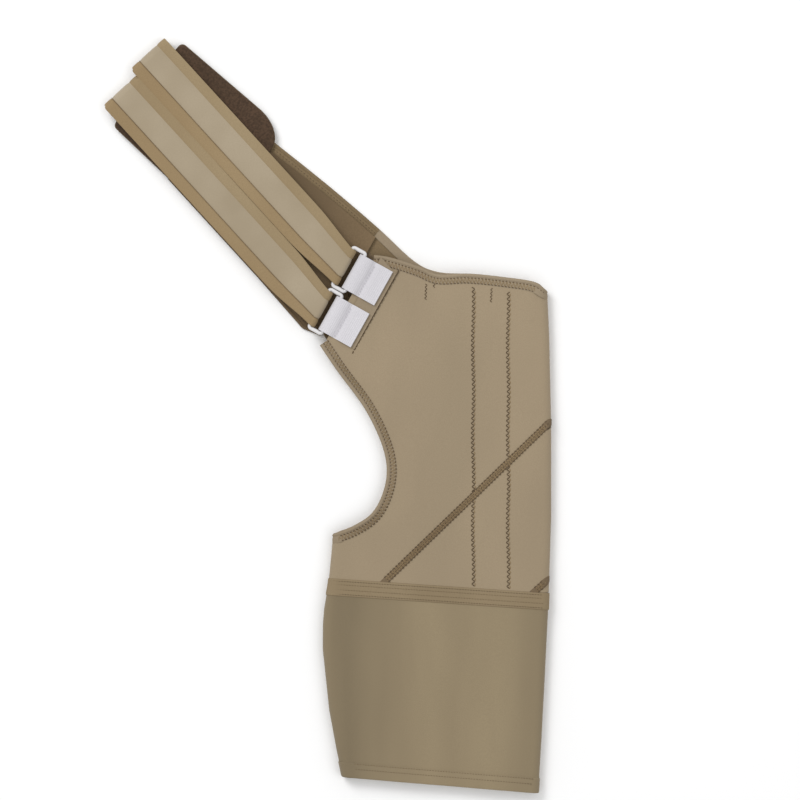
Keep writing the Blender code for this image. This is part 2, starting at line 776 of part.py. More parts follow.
# ---------------------------------------------------------------- moving groups


def pivot_empty(name, place, pieces, parts, parent=None):
    """An empty on a joint's axis that carries its pieces without moving them."""
    empty = bpy.data.objects.new(name, None)
    empty.location = place
    parts.objects.link(empty)
    bpy.context.view_layer.update()
    if parent:
        empty.parent = parent
        empty.matrix_parent_inverse = parent.matrix_world.inverted()
        bpy.context.view_layer.update()
    for piece in pieces:
        piece.parent = empty
        piece.matrix_parent_inverse = empty.matrix_world.inverted()
    return empty


def main():
    clear_scene()
    parts = new_collection("shoulder_support")
    tools = new_collection("cutters")
    blank = shell_blank(tools)
    make_cap(blank, parts, tools)
    make_bindings(blank, parts, tools)
    make_sleeve(blank, parts, tools)
    make_stay(parts)
    make_patch(parts)
    make_tab("upper_tab", UPPER_BAR, parts)
    make_tab("lower_tab", LOWER_BAR, parts)
    upper_ring = make_ring("upper_ring", UPPER_BAR, parts, tools)
    lower_ring = make_ring("lower_ring", LOWER_BAR, parts, tools)
    bundle = make_wing(parts)
    bundle += make_strap("upper", UPPER_BAR, UPPER_RUN, parts)
    bundle += make_strap("lower", LOWER_BAR, LOWER_RUN, parts)
    upper_root = hook_root(UPPER_BAR, UPPER_RUN)
    lower_root = hook_root(LOWER_BAR, LOWER_RUN)
    upper_hook = make_hook_end("upper", upper_root, UPPER_HOOK_FAN, UPPER_HOOK_SHIFT, parts)
    lower_hook = make_hook_end("lower", lower_root, LOWER_HOOK_FAN, LOWER_HOOK_SHIFT, parts)
    lift = pivot_empty("strap_lift_axis", (*UPPER_BAR, RING_Z), bundle, parts)
    pivot_empty("upper_ring_axis", (*UPPER_BAR, RING_Z), [upper_ring], parts)
    pivot_empty("lower_ring_axis", (*LOWER_BAR, RING_Z), [lower_ring], parts)
    pivot_empty("upper_hook_axis", (*upper_root, HOOK_LOW), upper_hook, parts, lift)
    pivot_empty("lower_hook_axis", (*lower_root, HOOK_LOW), lower_hook, parts, lift)


main()
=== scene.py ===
"""Shoulder compression support: its cloth, edges, seams, straps, tabs and rings, laid flat.

Lengths are in metres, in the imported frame: +X from the armhole to the outer shoulder fold, +Y
from the cuff to the straps, +Z up. Each sub-assembly is a class that works out its surfaces as
numpy grids, and each finish is a frozen dataclass that builds one procedural material.
"""

import json
import logging
import math
from collections.abc import Callable
from dataclasses import dataclass
from enum import Enum

import bmesh
import bpy
import numpy as np
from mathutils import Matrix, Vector
from mathutils.geometry import delaunay_2d_cdt


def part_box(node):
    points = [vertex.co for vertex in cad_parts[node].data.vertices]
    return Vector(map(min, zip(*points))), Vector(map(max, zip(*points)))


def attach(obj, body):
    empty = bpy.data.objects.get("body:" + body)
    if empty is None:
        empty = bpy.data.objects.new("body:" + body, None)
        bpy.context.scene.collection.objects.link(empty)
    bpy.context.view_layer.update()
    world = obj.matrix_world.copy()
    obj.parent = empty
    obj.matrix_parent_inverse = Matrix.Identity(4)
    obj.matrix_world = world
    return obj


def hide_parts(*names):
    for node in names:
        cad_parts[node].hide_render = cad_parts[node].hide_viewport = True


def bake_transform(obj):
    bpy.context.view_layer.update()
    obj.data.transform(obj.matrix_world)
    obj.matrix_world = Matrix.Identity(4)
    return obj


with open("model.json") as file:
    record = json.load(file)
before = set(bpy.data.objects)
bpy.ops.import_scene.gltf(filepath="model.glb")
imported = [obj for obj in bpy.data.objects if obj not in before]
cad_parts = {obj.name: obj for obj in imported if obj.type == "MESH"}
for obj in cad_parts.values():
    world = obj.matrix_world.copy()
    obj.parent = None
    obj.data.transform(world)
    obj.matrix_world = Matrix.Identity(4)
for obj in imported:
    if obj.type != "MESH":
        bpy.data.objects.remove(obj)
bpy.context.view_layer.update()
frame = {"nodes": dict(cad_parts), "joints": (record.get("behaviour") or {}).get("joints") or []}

log = logging.getLogger("shoulder_support")
Array = np.ndarray
Tree = bpy.types.NodeTree
Socket = bpy.types.NodeSocket
Piece = bpy.types.Object
Seam = Callable[[Array], Array]  # the y of a seam at x
Height = Callable[[Array, Array], Array]  # the height of a face at x and y

FIT = 0.0003  # the gap between parts that touch
STRAP_HEADING = 132.4  # the straps' direction in plan, in degrees from +X


# ---------------------------------------------------------------- lines in plan


def unit(vectors: Array) -> Array:
    """The vectors, each divided by its own length."""
    return vectors / np.maximum(np.linalg.norm(vectors, axis=-1, keepdims=True), 1e-12)


def heading(degrees: float) -> Array:
    """The plan vector of length one at this angle from +X."""
    return np.array([math.cos(math.radians(degrees)), math.sin(math.radians(degrees))])


def run_of(line: Array) -> Array:
    """The distance travelled along a line at each of its points."""
    return np.concatenate([[0.0], np.cumsum(np.linalg.norm(np.diff(line, axis=0), axis=1))])


def at_runs(line: Array, runs: Array) -> Array:
    """The points of a line at these distances along it, read between its own points."""
    own = run_of(line)
    return np.stack([np.interp(runs, own, column) for column in line.T], axis=-1)


def resampled(line: Array, shares: Array) -> Array:
    """The points of a line at these shares of its length, 0 to 1."""
    return at_runs(line, shares * run_of(line)[-1])


def curve(points: list, steps: int = 10) -> Array:
    """A Catmull-Rom curve through plan points.

    Each span is half of 2b + (c - a)t + (2a - 5b + 4c - d)t^2 + (3b - a - 3c + d)t^3.

    Args:
        points: the plan points that the curve passes through.
        steps: the pieces in each span.

    Returns:
        The curve's points, one row each.
    """
    given = np.array(points, float)
    given = np.vstack([2 * given[0] - given[1], given, 2 * given[-1] - given[-2]])
    a, b, c, d = (given[i : len(given) - 3 + i, None] for i in range(4))
    t = np.linspace(0, 1, steps, endpoint=False)[None, :, None]
    spans = 0.5 * (2 * b + (c - a) * t + (2 * a - 5 * b + 4 * c - d) * t**2 + (3 * b - a - 3 * c + d) * t**3)
    return np.vstack([spans.reshape(-1, 2), given[-2:-1]])


def moved_left(line: Array, distance: float) -> Array:
    """A plan line moved to its left-hand side, its corners mitred.

    A point moves by the distance times the sum of its two sides' normals, over one plus their dot
    product.

    Args:
        line: the plan line, one point a row.
        distance: how far it moves.

    Returns:
        The moved line.
    """
    step = unit(np.diff(line, axis=0))
    normal = np.stack([-step[:, 1], step[:, 0]], axis=1)
    before = np.vstack([normal[:1], normal])
    after = np.vstack([normal, normal[-1:]])
    return line + distance * (before + after) / (1 + (before * after).sum(axis=1))[:, None]


def cut_where(line: Array, signed: Array) -> tuple[Array, Array]:
    """A line parted where a value along it first changes sign.

    Args:
        line: the line, one point a row.
        signed: the value at each point.

    Returns:
        The head and the tail, with the point of the cut in both.
    """
    i = int(np.flatnonzero(np.diff(np.sign(signed)))[0])
    share = signed[i] / (signed[i] - signed[i + 1])
    point = line[i] + share * (line[i + 1] - line[i])
    return np.vstack([line[: i + 1], point]), np.vstack([point, line[i + 1 :]])


def eased(count: int, share: float = 0.6) -> Array:
    """Shares from 0 to 1 that crowd towards both ends, by a cosine mixed with even steps."""
    even = np.linspace(0, 1, count)
    return share * (0.5 - 0.5 * np.cos(math.pi * even)) + (1 - share) * even


def patch(bottom: Array, right: Array, top: Array, left: Array, columns: int, rows: int) -> Array:
    """A plan surface between four sides.

    Each point is the blend of the bottom and top sides, plus the blend of the left and right
    sides, less the blend of the four corners.

    Args:
        bottom: the side from the lower left corner to the lower right.
        right: the side from the lower right corner to the upper right.
        top: the side from the upper left corner to the upper right.
        left: the side from the lower left corner to the upper left.
        columns: the points along the bottom and the top.
        rows: the points up the two other sides.

    Returns:
        The plan points, shaped (rows, columns, 2).
    """
    u, v = eased(columns), eased(rows)
    low, high = resampled(bottom, u)[None], resampled(top, u)[None]
    near, far = resampled(left, v)[:, None], resampled(right, v)[:, None]
    u, v = u[None, :, None], v[:, None, None]
    corners = (1 - u) * (1 - v) * low[:, :1] + u * (1 - v) * low[:, -1:]
    corners = corners + (1 - u) * v * high[:, :1] + u * v * high[:, -1:]
    return (1 - v) * low + v * high + (1 - u) * near + u * far - corners


def smoothstep(value: Array, start: float, end: float) -> Array:
    """0 before start and 1 after end, with a smooth rise of 3t^2 - 2t^3 between them."""
    t = np.clip((value - start) / (end - start), 0, 1)
    return t * t * (3 - 2 * t)


# ---------------------------------------------------------------- meshes


DOUBLES = 2e-6  # points nearer than this are one point


class Surface:
    """A mesh under construction, gathered from grids of points."""

    def __init__(self) -> None:
        """Starts with no points and no faces."""
        self.points: list[Array] = []
        self.faces: list[list[int]] = []
        self.count = 0

    def filled(
        self, outline: Array, spacing: float, place: Callable[[Array], Array], thickness: float
    ) -> float:
        """Adds a sheet whose cut is a closed outline, laid in space by a function.

        The cut is filled with triangles over a lattice of points. The inner face lies the
        thickness under the outer one, along the cross product of the two directions of the cut,
        and a wall joins the two along every edge that only one triangle uses.

        Args:
            outline: the cut's outline, anticlockwise.
            spacing: the lattice's spacing.
            place: the function from the cut to the outer face.
            thickness: the sheet's thickness.

        Returns:
            The area of the cut.
        """
        low, high = outline.min(axis=0), outline.max(axis=0)
        across, along = (np.arange(low[k], high[k], spacing) for k in (0, 1))
        lattice = np.stack(np.meshgrid(across, along), -1)
        lattice[1::2, :, 0] += spacing / 2
        lattice = lattice.reshape(-1, 2)
        apart = np.full(len(lattice), np.inf)
        for part in np.array_split(outline, 12):
            apart = np.minimum(apart, np.linalg.norm(lattice[:, None] - part[None], axis=-1).min(axis=1))
        clearance = 0.55 * spacing
        points = np.vstack([outline, lattice[apart > clearance]])
        loop = list(range(len(outline)))
        inside_only, tolerance = 1, 1e-7
        made = delaunay_2d_cdt([Vector(p) for p in points], [], [loop], inside_only, tolerance)
        flat = np.array([tuple(p) for p in made[0]])
        faces = np.array(made[2])
        corners = flat[faces]
        spans = corners[:, 1:] - corners[:, :1]
        turn = spans[:, 0, 0] * spans[:, 1, 1] - spans[:, 0, 1] * spans[:, 1, 0]
        faces = np.where(turn[:, None] < 0, faces[:, ::-1], faces)
        used, index = np.unique(faces, return_inverse=True)
        flat, faces = flat[used], index.reshape(-1, 3)
        step = 0.00005
        outer = place(flat)
        first = place(flat + [step, 0]) - place(flat - [step, 0])
        second = place(flat + [0, step]) - place(flat - [0, step])
        inner = outer - thickness * unit(np.cross(first, second))
        count = len(flat)
        edges = np.vstack([faces[:, [0, 1]], faces[:, [1, 2]], faces[:, [2, 0]]])
        rim = edges[~np.isin(edges[:, 0] * count + edges[:, 1], edges[:, 1] * count + edges[:, 0])]
        walls = np.column_stack([rim[:, ::-1], rim + count])
        base = self.count
        self.points += [outer, inner]
        self.count += 2 * count
        for group in (faces, faces[:, ::-1] + count, walls):
            self.faces += (group + base).tolist()
        return float(np.abs(turn).sum() / 2)

    def grid(self, points: Array, wrap_rows: bool = False, wrap_columns: bool = False) -> Array:
        """Adds a grid of four-sided faces.

        Args:
            points: the points, shaped (rows, columns, 3).
            wrap_rows: whether the last row joins the first.
            wrap_columns: whether the last column joins the first.

        Returns:
            The index of each point, shaped (rows, columns).
        """
        rows, columns = points.shape[:2]
        index = self.count + np.arange(rows * columns).reshape(rows, columns)
        self.points.append(points.reshape(-1, 3))
        self.count += rows * columns
        ring = np.vstack([index, index[:1]]) if wrap_rows else index
        ring = np.hstack([ring, ring[:, :1]]) if wrap_columns else ring
        quads = np.stack([ring[:-1, :-1], ring[:-1, 1:], ring[1:, 1:], ring[1:, :-1]], axis=-1)
        self.faces += quads.reshape(-1, 4).tolist()
        return index

    def thick(self, outer: Array, thickness: float) -> None:
        """Adds a layer of cloth: a grid, the same grid moved in along its normals, and the rims.

        The normal at a point is the cross product of the grid's two directions there.

        Args:
            outer: the face that looks out, shaped (rows, columns, 3), its rows to the left of its
                columns.
            thickness: how far in the other face lies.
        """
        normal = unit(np.cross(np.gradient(outer, axis=1), np.gradient(outer, axis=0)))
        first = self.grid(outer)
        second = self.grid(outer - thickness * normal)
        for end in (0, -1):
            self.strip(first[end], second[end])
        for end in (0, -1):
            self.strip(first[:, end], second[:, end])

    def strip(self, a: Array, b: Array) -> None:
        """Adds the faces between two rows of points that are already there.

        Args:
            a: the indices of the first row.
            b: the indices of the second row.
        """
        self.faces += np.stack([a[:-1], a[1:], b[1:], b[:-1]], axis=-1).tolist()

    def swept(self, profile: Array, centre: Array, across: Array, up: Array, closed: bool = False) -> None:
        """Adds a closed profile carried along a path.

        A point is centre + profile x times across + profile y times up.

        Args:
            profile: the section, shaped (points, 2) or, where it changes, (stations, points, 2).
            centre: the path, shaped (stations, 3).
            across: the section's x direction at each station.
            up: the section's y direction at each station.
            closed: whether the path ends where it starts.
        """
        profile = np.broadcast_to(profile, (len(centre), *profile.shape[-2:]))
        points = centre[:, None] + profile[..., :1] * across[:, None] + profile[..., 1:] * up[:, None]
        index = self.grid(points, wrap_rows=closed, wrap_columns=True)
        if not closed:
            self.faces += [index[0].tolist(), index[-1].tolist()]

    def made(self, name: str, finish: "Finish", sharp: float = 50.0) -> Piece:
        """Makes the object, with its doubles merged, its faces turned outwards and its finish on.

        A point that would lie under the table is raised to it.

        Args:
            name: the piece's name.
            finish: the finish that dresses it.
            sharp: the angle in degrees past which an edge stays sharp.

        Returns:
            The new object, at the origin.
        """
        mesh = bpy.data.meshes.new(name)
        points = np.vstack(self.points)
        points[:, 2] = np.maximum(points[:, 2], 0.0)
        mesh.from_pydata(points.tolist(), [], self.faces)
        work = bmesh.new()
        work.from_mesh(mesh)
        bmesh.ops.remove_doubles(work, verts=work.verts, dist=DOUBLES)
        bmesh.ops.recalc_face_normals(work, faces=work.faces)
        work.to_mesh(mesh)
        work.free()
        mesh.shade_smooth()
        mesh.set_sharp_from_angle(angle=math.radians(sharp))
        mesh.materials.append(finish.material())
        piece = bpy.data.objects.new(name, mesh)
        bpy.context.scene.collection.objects.link(piece)
        log.info("%s: %d faces", name, len(mesh.polygons))
        return piece


def rounded_bar(width: float, height: float, radius: float, steps: int = 4) -> Array:
    """A section with rounded corners, centred on zero.

    Args:
        width: its size across.
        height: its size upwards.
        radius: the corners' radius.
        steps: the points on each corner.

    Returns:
        The closed ring of points.
    """
    turn = np.radians(np.linspace(0, 90, steps))
    x, y = width / 2 - radius, height / 2 - radius
    parts = []
    for quarter, (sx, sy) in enumerate(((1, 1), (-1, 1), (-1, -1), (1, -1))):
        angle = turn + quarter * math.pi / 2
        parts.append(np.stack([sx * x + radius * np.cos(angle), sy * y + radius * np.sin(angle)], axis=1))
    return np.vstack(parts)


# ---------------------------------------------------------------- finishes


@dataclass(frozen=True)
class Finish:
    """A cloth, thread or plastic with a drifting colour that on the panels and the sleeve also paints soft
    crease shade, a fine grain and, on some, ribs.

    The painted shade is a row of (x, factor) pairs that darken the colour from side to side: shade painted
    into the colour where less light falls.
    """

    name: str
    colour: tuple[float, float, float]
    tint: tuple[float, float, float]
    speckle: tuple[float, float, float]
    speckle_share: float = 0.3
    # the broad noise's scales; stretched along Y, it gives tone drift and painted vertical crease shade
    drift_and_crease_shade: tuple[float, float, float] = (16.0, 7.0, 16.0)
    grain: float = 1300.0
    grain_depth: float = 0.00010
    rib_pitch: float = 0.0
    rib_heading: float = 0.0
    rib_depth: float = 0.00010
    roughness: float = 0.92
    specular: float = 0.25
    sheen: float = 0.0
    # painted shade: (x, factor) pairs that darken the colour across X
    painted_shade: tuple[tuple[float, float], ...] = ()

    def material(self) -> bpy.types.Material:
        """The finish's material, built once and then shared."""
        return bpy.data.materials.get(self.name + "_finish") or self.build()

    def build(self) -> bpy.types.Material:
        """Builds the nodes: broad drift with painted crease shade, painted side-to-side shade where set, and
        fine speckle for colour, grain and ribs for bump.

        Returns:
            The new material, which reads Object coordinates only.
        """
        made = bpy.data.materials.new(self.name + "_finish")
        made.use_nodes = True
        tree = made.node_tree
        nodes, links = tree.nodes, tree.links
        shader = nodes["Principled BSDF"]
        shader.inputs["Roughness"].default_value = self.roughness
        shader.inputs["Specular IOR Level"].default_value = self.specular
        shader.inputs["Sheen Weight"].default_value = self.sheen
        place = nodes.new("ShaderNodeTexCoord").outputs["Object"]
        broad = nodes.new("ShaderNodeMapping")
        broad.inputs["Scale"].default_value = self.drift_and_crease_shade
        links.new(place, broad.inputs["Vector"])
        # tone drift, and painted crease shade where the noise is stretched along Y
        drift_and_crease_shade = self.noise(tree, broad.outputs["Vector"], 1.0, 2.0)
        fine = self.noise(tree, place, self.grain, 3.0)
        base = self.mixed(tree, drift_and_crease_shade, (0.35, 0.68), (self.colour, self.tint))
        # paints shade into the colour across X
        if self.painted_shade:
            base = self.shaded(tree, place, base)
        speck = self.mixed(tree, fine, (0.38, 0.62), ((0, 0, 0), (self.speckle_share,) * 3))
        blend = nodes.new("ShaderNodeMix")
        blend.data_type = "RGBA"
        links.new(speck, blend.inputs["Factor"])
        links.new(base, blend.inputs["A"])
        blend.inputs["B"].default_value = (*self.speckle, 1)
        links.new(blend.outputs["Result"], shader.inputs["Base Color"])
        bump = nodes.new("ShaderNodeBump")
        bump.inputs["Distance"].default_value = self.grain_depth
        bump.inputs["Strength"].default_value = 1.0
        links.new(fine, bump.inputs["Height"])
        if self.rib_pitch:
            self.ribs(tree, place, bump.inputs["Normal"])
        links.new(bump.outputs["Normal"], shader.inputs["Normal"])
        return made

    def ribs(self, tree: Tree, place: Socket, normal: Socket) -> None:
        """Adds ribs under the grain: a wave of the rib pitch along the rib heading.

        The wave repeats every pi / (10 * scale).

        Args:
            tree: the material's nodes.
            place: the coordinates.
            normal: the socket that takes the ribs' normal.
        """
        nodes, links = tree.nodes, tree.links
        turned = nodes.new("ShaderNodeMapping")
        turned.inputs["Rotation"].default_value = (0, 0, -math.radians(self.rib_heading))
        links.new(place, turned.inputs["Vector"])
        wave = nodes.new("ShaderNodeTexWave")
        wave.bands_direction = "X"
        wave.inputs["Scale"].default_value = math.pi / (10 * self.rib_pitch)
        links.new(turned.outputs["Vector"], wave.inputs["Vector"])
        under = nodes.new("ShaderNodeBump")
        under.inputs["Distance"].default_value = self.rib_depth
        links.new(wave.outputs["Fac"], under.inputs["Height"])
        links.new(under.outputs["Normal"], normal)

    def shaded(self, tree: Tree, place: Socket, base: Socket) -> Socket:
        """Multiplies a colour by the painted shade's factors, read along X, which paints shade into it.

        Args:
            tree: the material's nodes.
            place: the coordinates.
            base: the colour.

        Returns:
            The shaded colour.
        """
        nodes, links = tree.nodes, tree.links
        first, last = self.painted_shade[0][0], self.painted_shade[-1][0]
        split = nodes.new("ShaderNodeSeparateXYZ")
        links.new(place, split.inputs["Vector"])
        spread = nodes.new("ShaderNodeMapRange")
        spread.inputs["From Min"].default_value = first
        spread.inputs["From Max"].default_value = last
        links.new(split.outputs["X"], spread.inputs["Value"])
        ramp = nodes.new("ShaderNodeValToRGB")
        ramp.color_ramp.interpolation = "B_SPLINE"
        while len(ramp.color_ramp.elements) < len(self.painted_shade):
            ramp.color_ramp.elements.new(0.5)
        for element, (x, factor) in zip(ramp.color_ramp.elements, self.painted_shade):
            element.position = (x - first) / (last - first)
            element.color = (factor, factor, factor, 1)
        links.new(spread.outputs["Result"], ramp.inputs["Fac"])
        blend = nodes.new("ShaderNodeMix")
        blend.data_type = "RGBA"
        blend.blend_type = "MULTIPLY"
        blend.inputs["Factor"].default_value = 1.0
        links.new(base, blend.inputs["A"])
        links.new(ramp.outputs["Color"], blend.inputs["B"])
        return blend.outputs["Result"]

    @staticmethod
    def noise(tree: Tree, place: Socket, scale: float, detail: float) -> Socket:
        """A noise over the piece.

        Args:
            tree: the material's nodes.
            place: the coordinates.
            scale: the waves in a metre.
            detail: the finer layers in it.

        Returns:
            The noise's factor.
        """
        made = tree.nodes.new("ShaderNodeTexNoise")
        made.inputs["Scale"].default_value = scale
        made.inputs["Detail"].default_value = detail
        tree.links.new(place, made.inputs["Vector"])
        return made.outputs["Fac"]

    @staticmethod
    def mixed(tree: Tree, value: Socket, stops: tuple, colours: tuple) -> Socket:
        """A ramp from one colour to another between two stops.

        Args:
            tree: the material's nodes.
            value: what the ramp reads.
            stops: the values at its two ends.
            colours: the colours at its two ends.

        Returns:
            The mixed colour.
        """
        ramp = tree.nodes.new("ShaderNodeValToRGB")
        for element, stop, colour in zip(ramp.color_ramp.elements, stops, colours):
            element.position = stop
            element.color = (*colour, 1)
        tree.links.new(value, ramp.inputs["Fac"])
        return ramp.outputs["Color"]


# the default drift, stretched along Y, paints soft vertical crease shade on the panels along with tone
NEOPRENE_CLOTH = Finish(
    "neoprene_cloth", (0.335, 0.262, 0.172), (0.300, 0.236, 0.155), (0.245, 0.188, 0.120), 0.28, sheen=0.15
)
SLEEVE_CLOTH = Finish(
    "sleeve_cloth", (0.305, 0.242, 0.148), (0.262, 0.206, 0.126), (0.220, 0.170, 0.104), 0.28,
    # drift stretched further along Y: tone with painted vertical crease shade
    drift_and_crease_shade=(26.0, 5.0, 16.0), sheen=0.15,
    # painted shade: darker at the rounded left fold, darkest in the soft crease beside it, and darker again
    # at the right fold
    painted_shade=(
        (-0.006, 0.80), (0.003, 0.78), (0.014, 0.66), (0.027, 0.74),
        (0.050, 0.92), (0.080, 1.00), (0.135, 0.97), (0.172, 0.76),
    ),
)
LINING_CLOTH = Finish(
    "lining_cloth", (0.215, 0.155, 0.085), (0.180, 0.128, 0.070), (0.130, 0.092, 0.050), 0.4, grain=1000.0
)
SOFT_TRIM = Finish(
    "strap_soft_trim", (0.318, 0.242, 0.142), (0.282, 0.208, 0.116), (0.215, 0.160, 0.090), 0.3,
    grain=1300.0, rib_pitch=0.0012, rib_heading=STRAP_HEADING, rib_depth=0.00004,
)
INNER_CLOTH = Finish(
    "inner_cloth", (0.215, 0.150, 0.084), (0.180, 0.124, 0.068), (0.130, 0.088, 0.048), 0.4, grain=1000.0,
    # painted shade: the wing darkens away from the rings, where the straps and hook ends shade it
    painted_shade=((-0.150, 0.42), (-0.060, 0.50), (-0.012, 0.62), (0.012, 0.82), (0.034, 1.0)),
)
EDGE_CLOTH = Finish(
    "edge_cloth", (0.315, 0.252, 0.172), (0.270, 0.212, 0.142), (0.215, 0.165, 0.110), 0.35, grain=1500.0
)
BAND_CLOTH = Finish(
    "band_cloth", (0.290, 0.224, 0.136), (0.245, 0.186, 0.110), (0.190, 0.142, 0.084), 0.35, grain=1500.0
)
SEAM_COVER = Finish(
    "seam_cover", (0.205, 0.150, 0.092), (0.165, 0.118, 0.070), (0.105, 0.072, 0.042), 0.5, grain=1700.0
)
DARK_THREAD = Finish(
    "dark_thread", (0.130, 0.090, 0.052), (0.100, 0.068, 0.040), (0.070, 0.046, 0.026), 0.4, grain=3000.0
)
TAN_THREAD = Finish(
    "tan_thread", (0.330, 0.240, 0.130), (0.260, 0.180, 0.095), (0.180, 0.125, 0.066), 0.4, grain=3000.0
)
LINE_THREAD = Finish(
    "line_thread", (0.215, 0.158, 0.090), (0.170, 0.122, 0.070), (0.120, 0.084, 0.048), 0.4, grain=3000.0
)
SATIN = Finish(
    "strap_satin", (0.352, 0.287, 0.196), (0.302, 0.241, 0.157), (0.284, 0.228, 0.150), 0.2,
    drift_and_crease_shade=(22.0, 22.0, 10.0), grain=900.0, rib_pitch=0.0009, rib_heading=STRAP_HEADING - 90,
    rib_depth=0.00003, roughness=0.62, specular=0.4, sheen=0.25,
)
TRIM = Finish(
    "strap_trim", (0.318, 0.232, 0.128), (0.282, 0.200, 0.106), (0.200, 0.140, 0.074), 0.35,
    grain=1500.0, rib_pitch=0.0012, rib_heading=STRAP_HEADING, rib_depth=0.00005,
)
HOOK_FIELD = Finish(
    "hook_field", (0.082, 0.048, 0.028), (0.060, 0.036, 0.020), (0.030, 0.018, 0.010), 0.6,
    grain=620.0, grain_depth=0.00045, roughness=0.85,
)
HOOK_BACK = Finish(
    "hook_back", (0.150, 0.105, 0.062), (0.120, 0.082, 0.048), (0.080, 0.054, 0.030), 0.4, grain=1300.0
)
WEBBING = Finish(
    "white_webbing", (0.680, 0.662, 0.690), (0.600, 0.585, 0.612), (0.44, 0.43, 0.46), 0.34,
    grain=1500.0, grain_depth=0.00008, roughness=0.8,
)
PLASTIC = Finish(
    "ring_plastic", (0.74, 0.73, 0.73), (0.68, 0.67, 0.68), (0.66, 0.65, 0.65), 0.1,
    grain=500.0, grain_depth=0.00001, roughness=0.35, specular=0.5,
)


# ---------------------------------------------------------------- the shell's lines


class Fold(Enum):
    """The two long folds of the flattened shell."""

    LEFT = -1
    RIGHT = 1


def joint_place(name: str) -> Array:
    """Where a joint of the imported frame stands."""
    return np.array(next(j["pos_m"] for j in frame["joints"] if j["name"] == name))


# (y, x) up the left fold, from the cuff to the underarm, above which it leaves the cap
LEFT_FOLD = (
    (-0.3000, 0.0175), (-0.2850, 0.0120), (-0.2620, 0.0070), (-0.2310, 0.0012),
    (-0.1840, -0.0038), (-0.1650, -0.0037), (-0.1530, -0.0028), (-0.1420, -0.0010),
    (-0.1316, 0.0008), (-0.1090, 0.0030), (-0.0950, 0.0042), (-0.0920, -0.0900),
)
# (y, inset) up the right fold: how far it lies inside the widest place
RIGHT_INSET = (
    (-0.300, 0.0104), (-0.255, 0.0076), (-0.205, 0.0050), (-0.155, 0.0025), (-0.137, 0.0018),
    (-0.080, 0.0000), (-0.010, 0.0000), (0.060, 0.0015), (0.120, 0.0042),
)


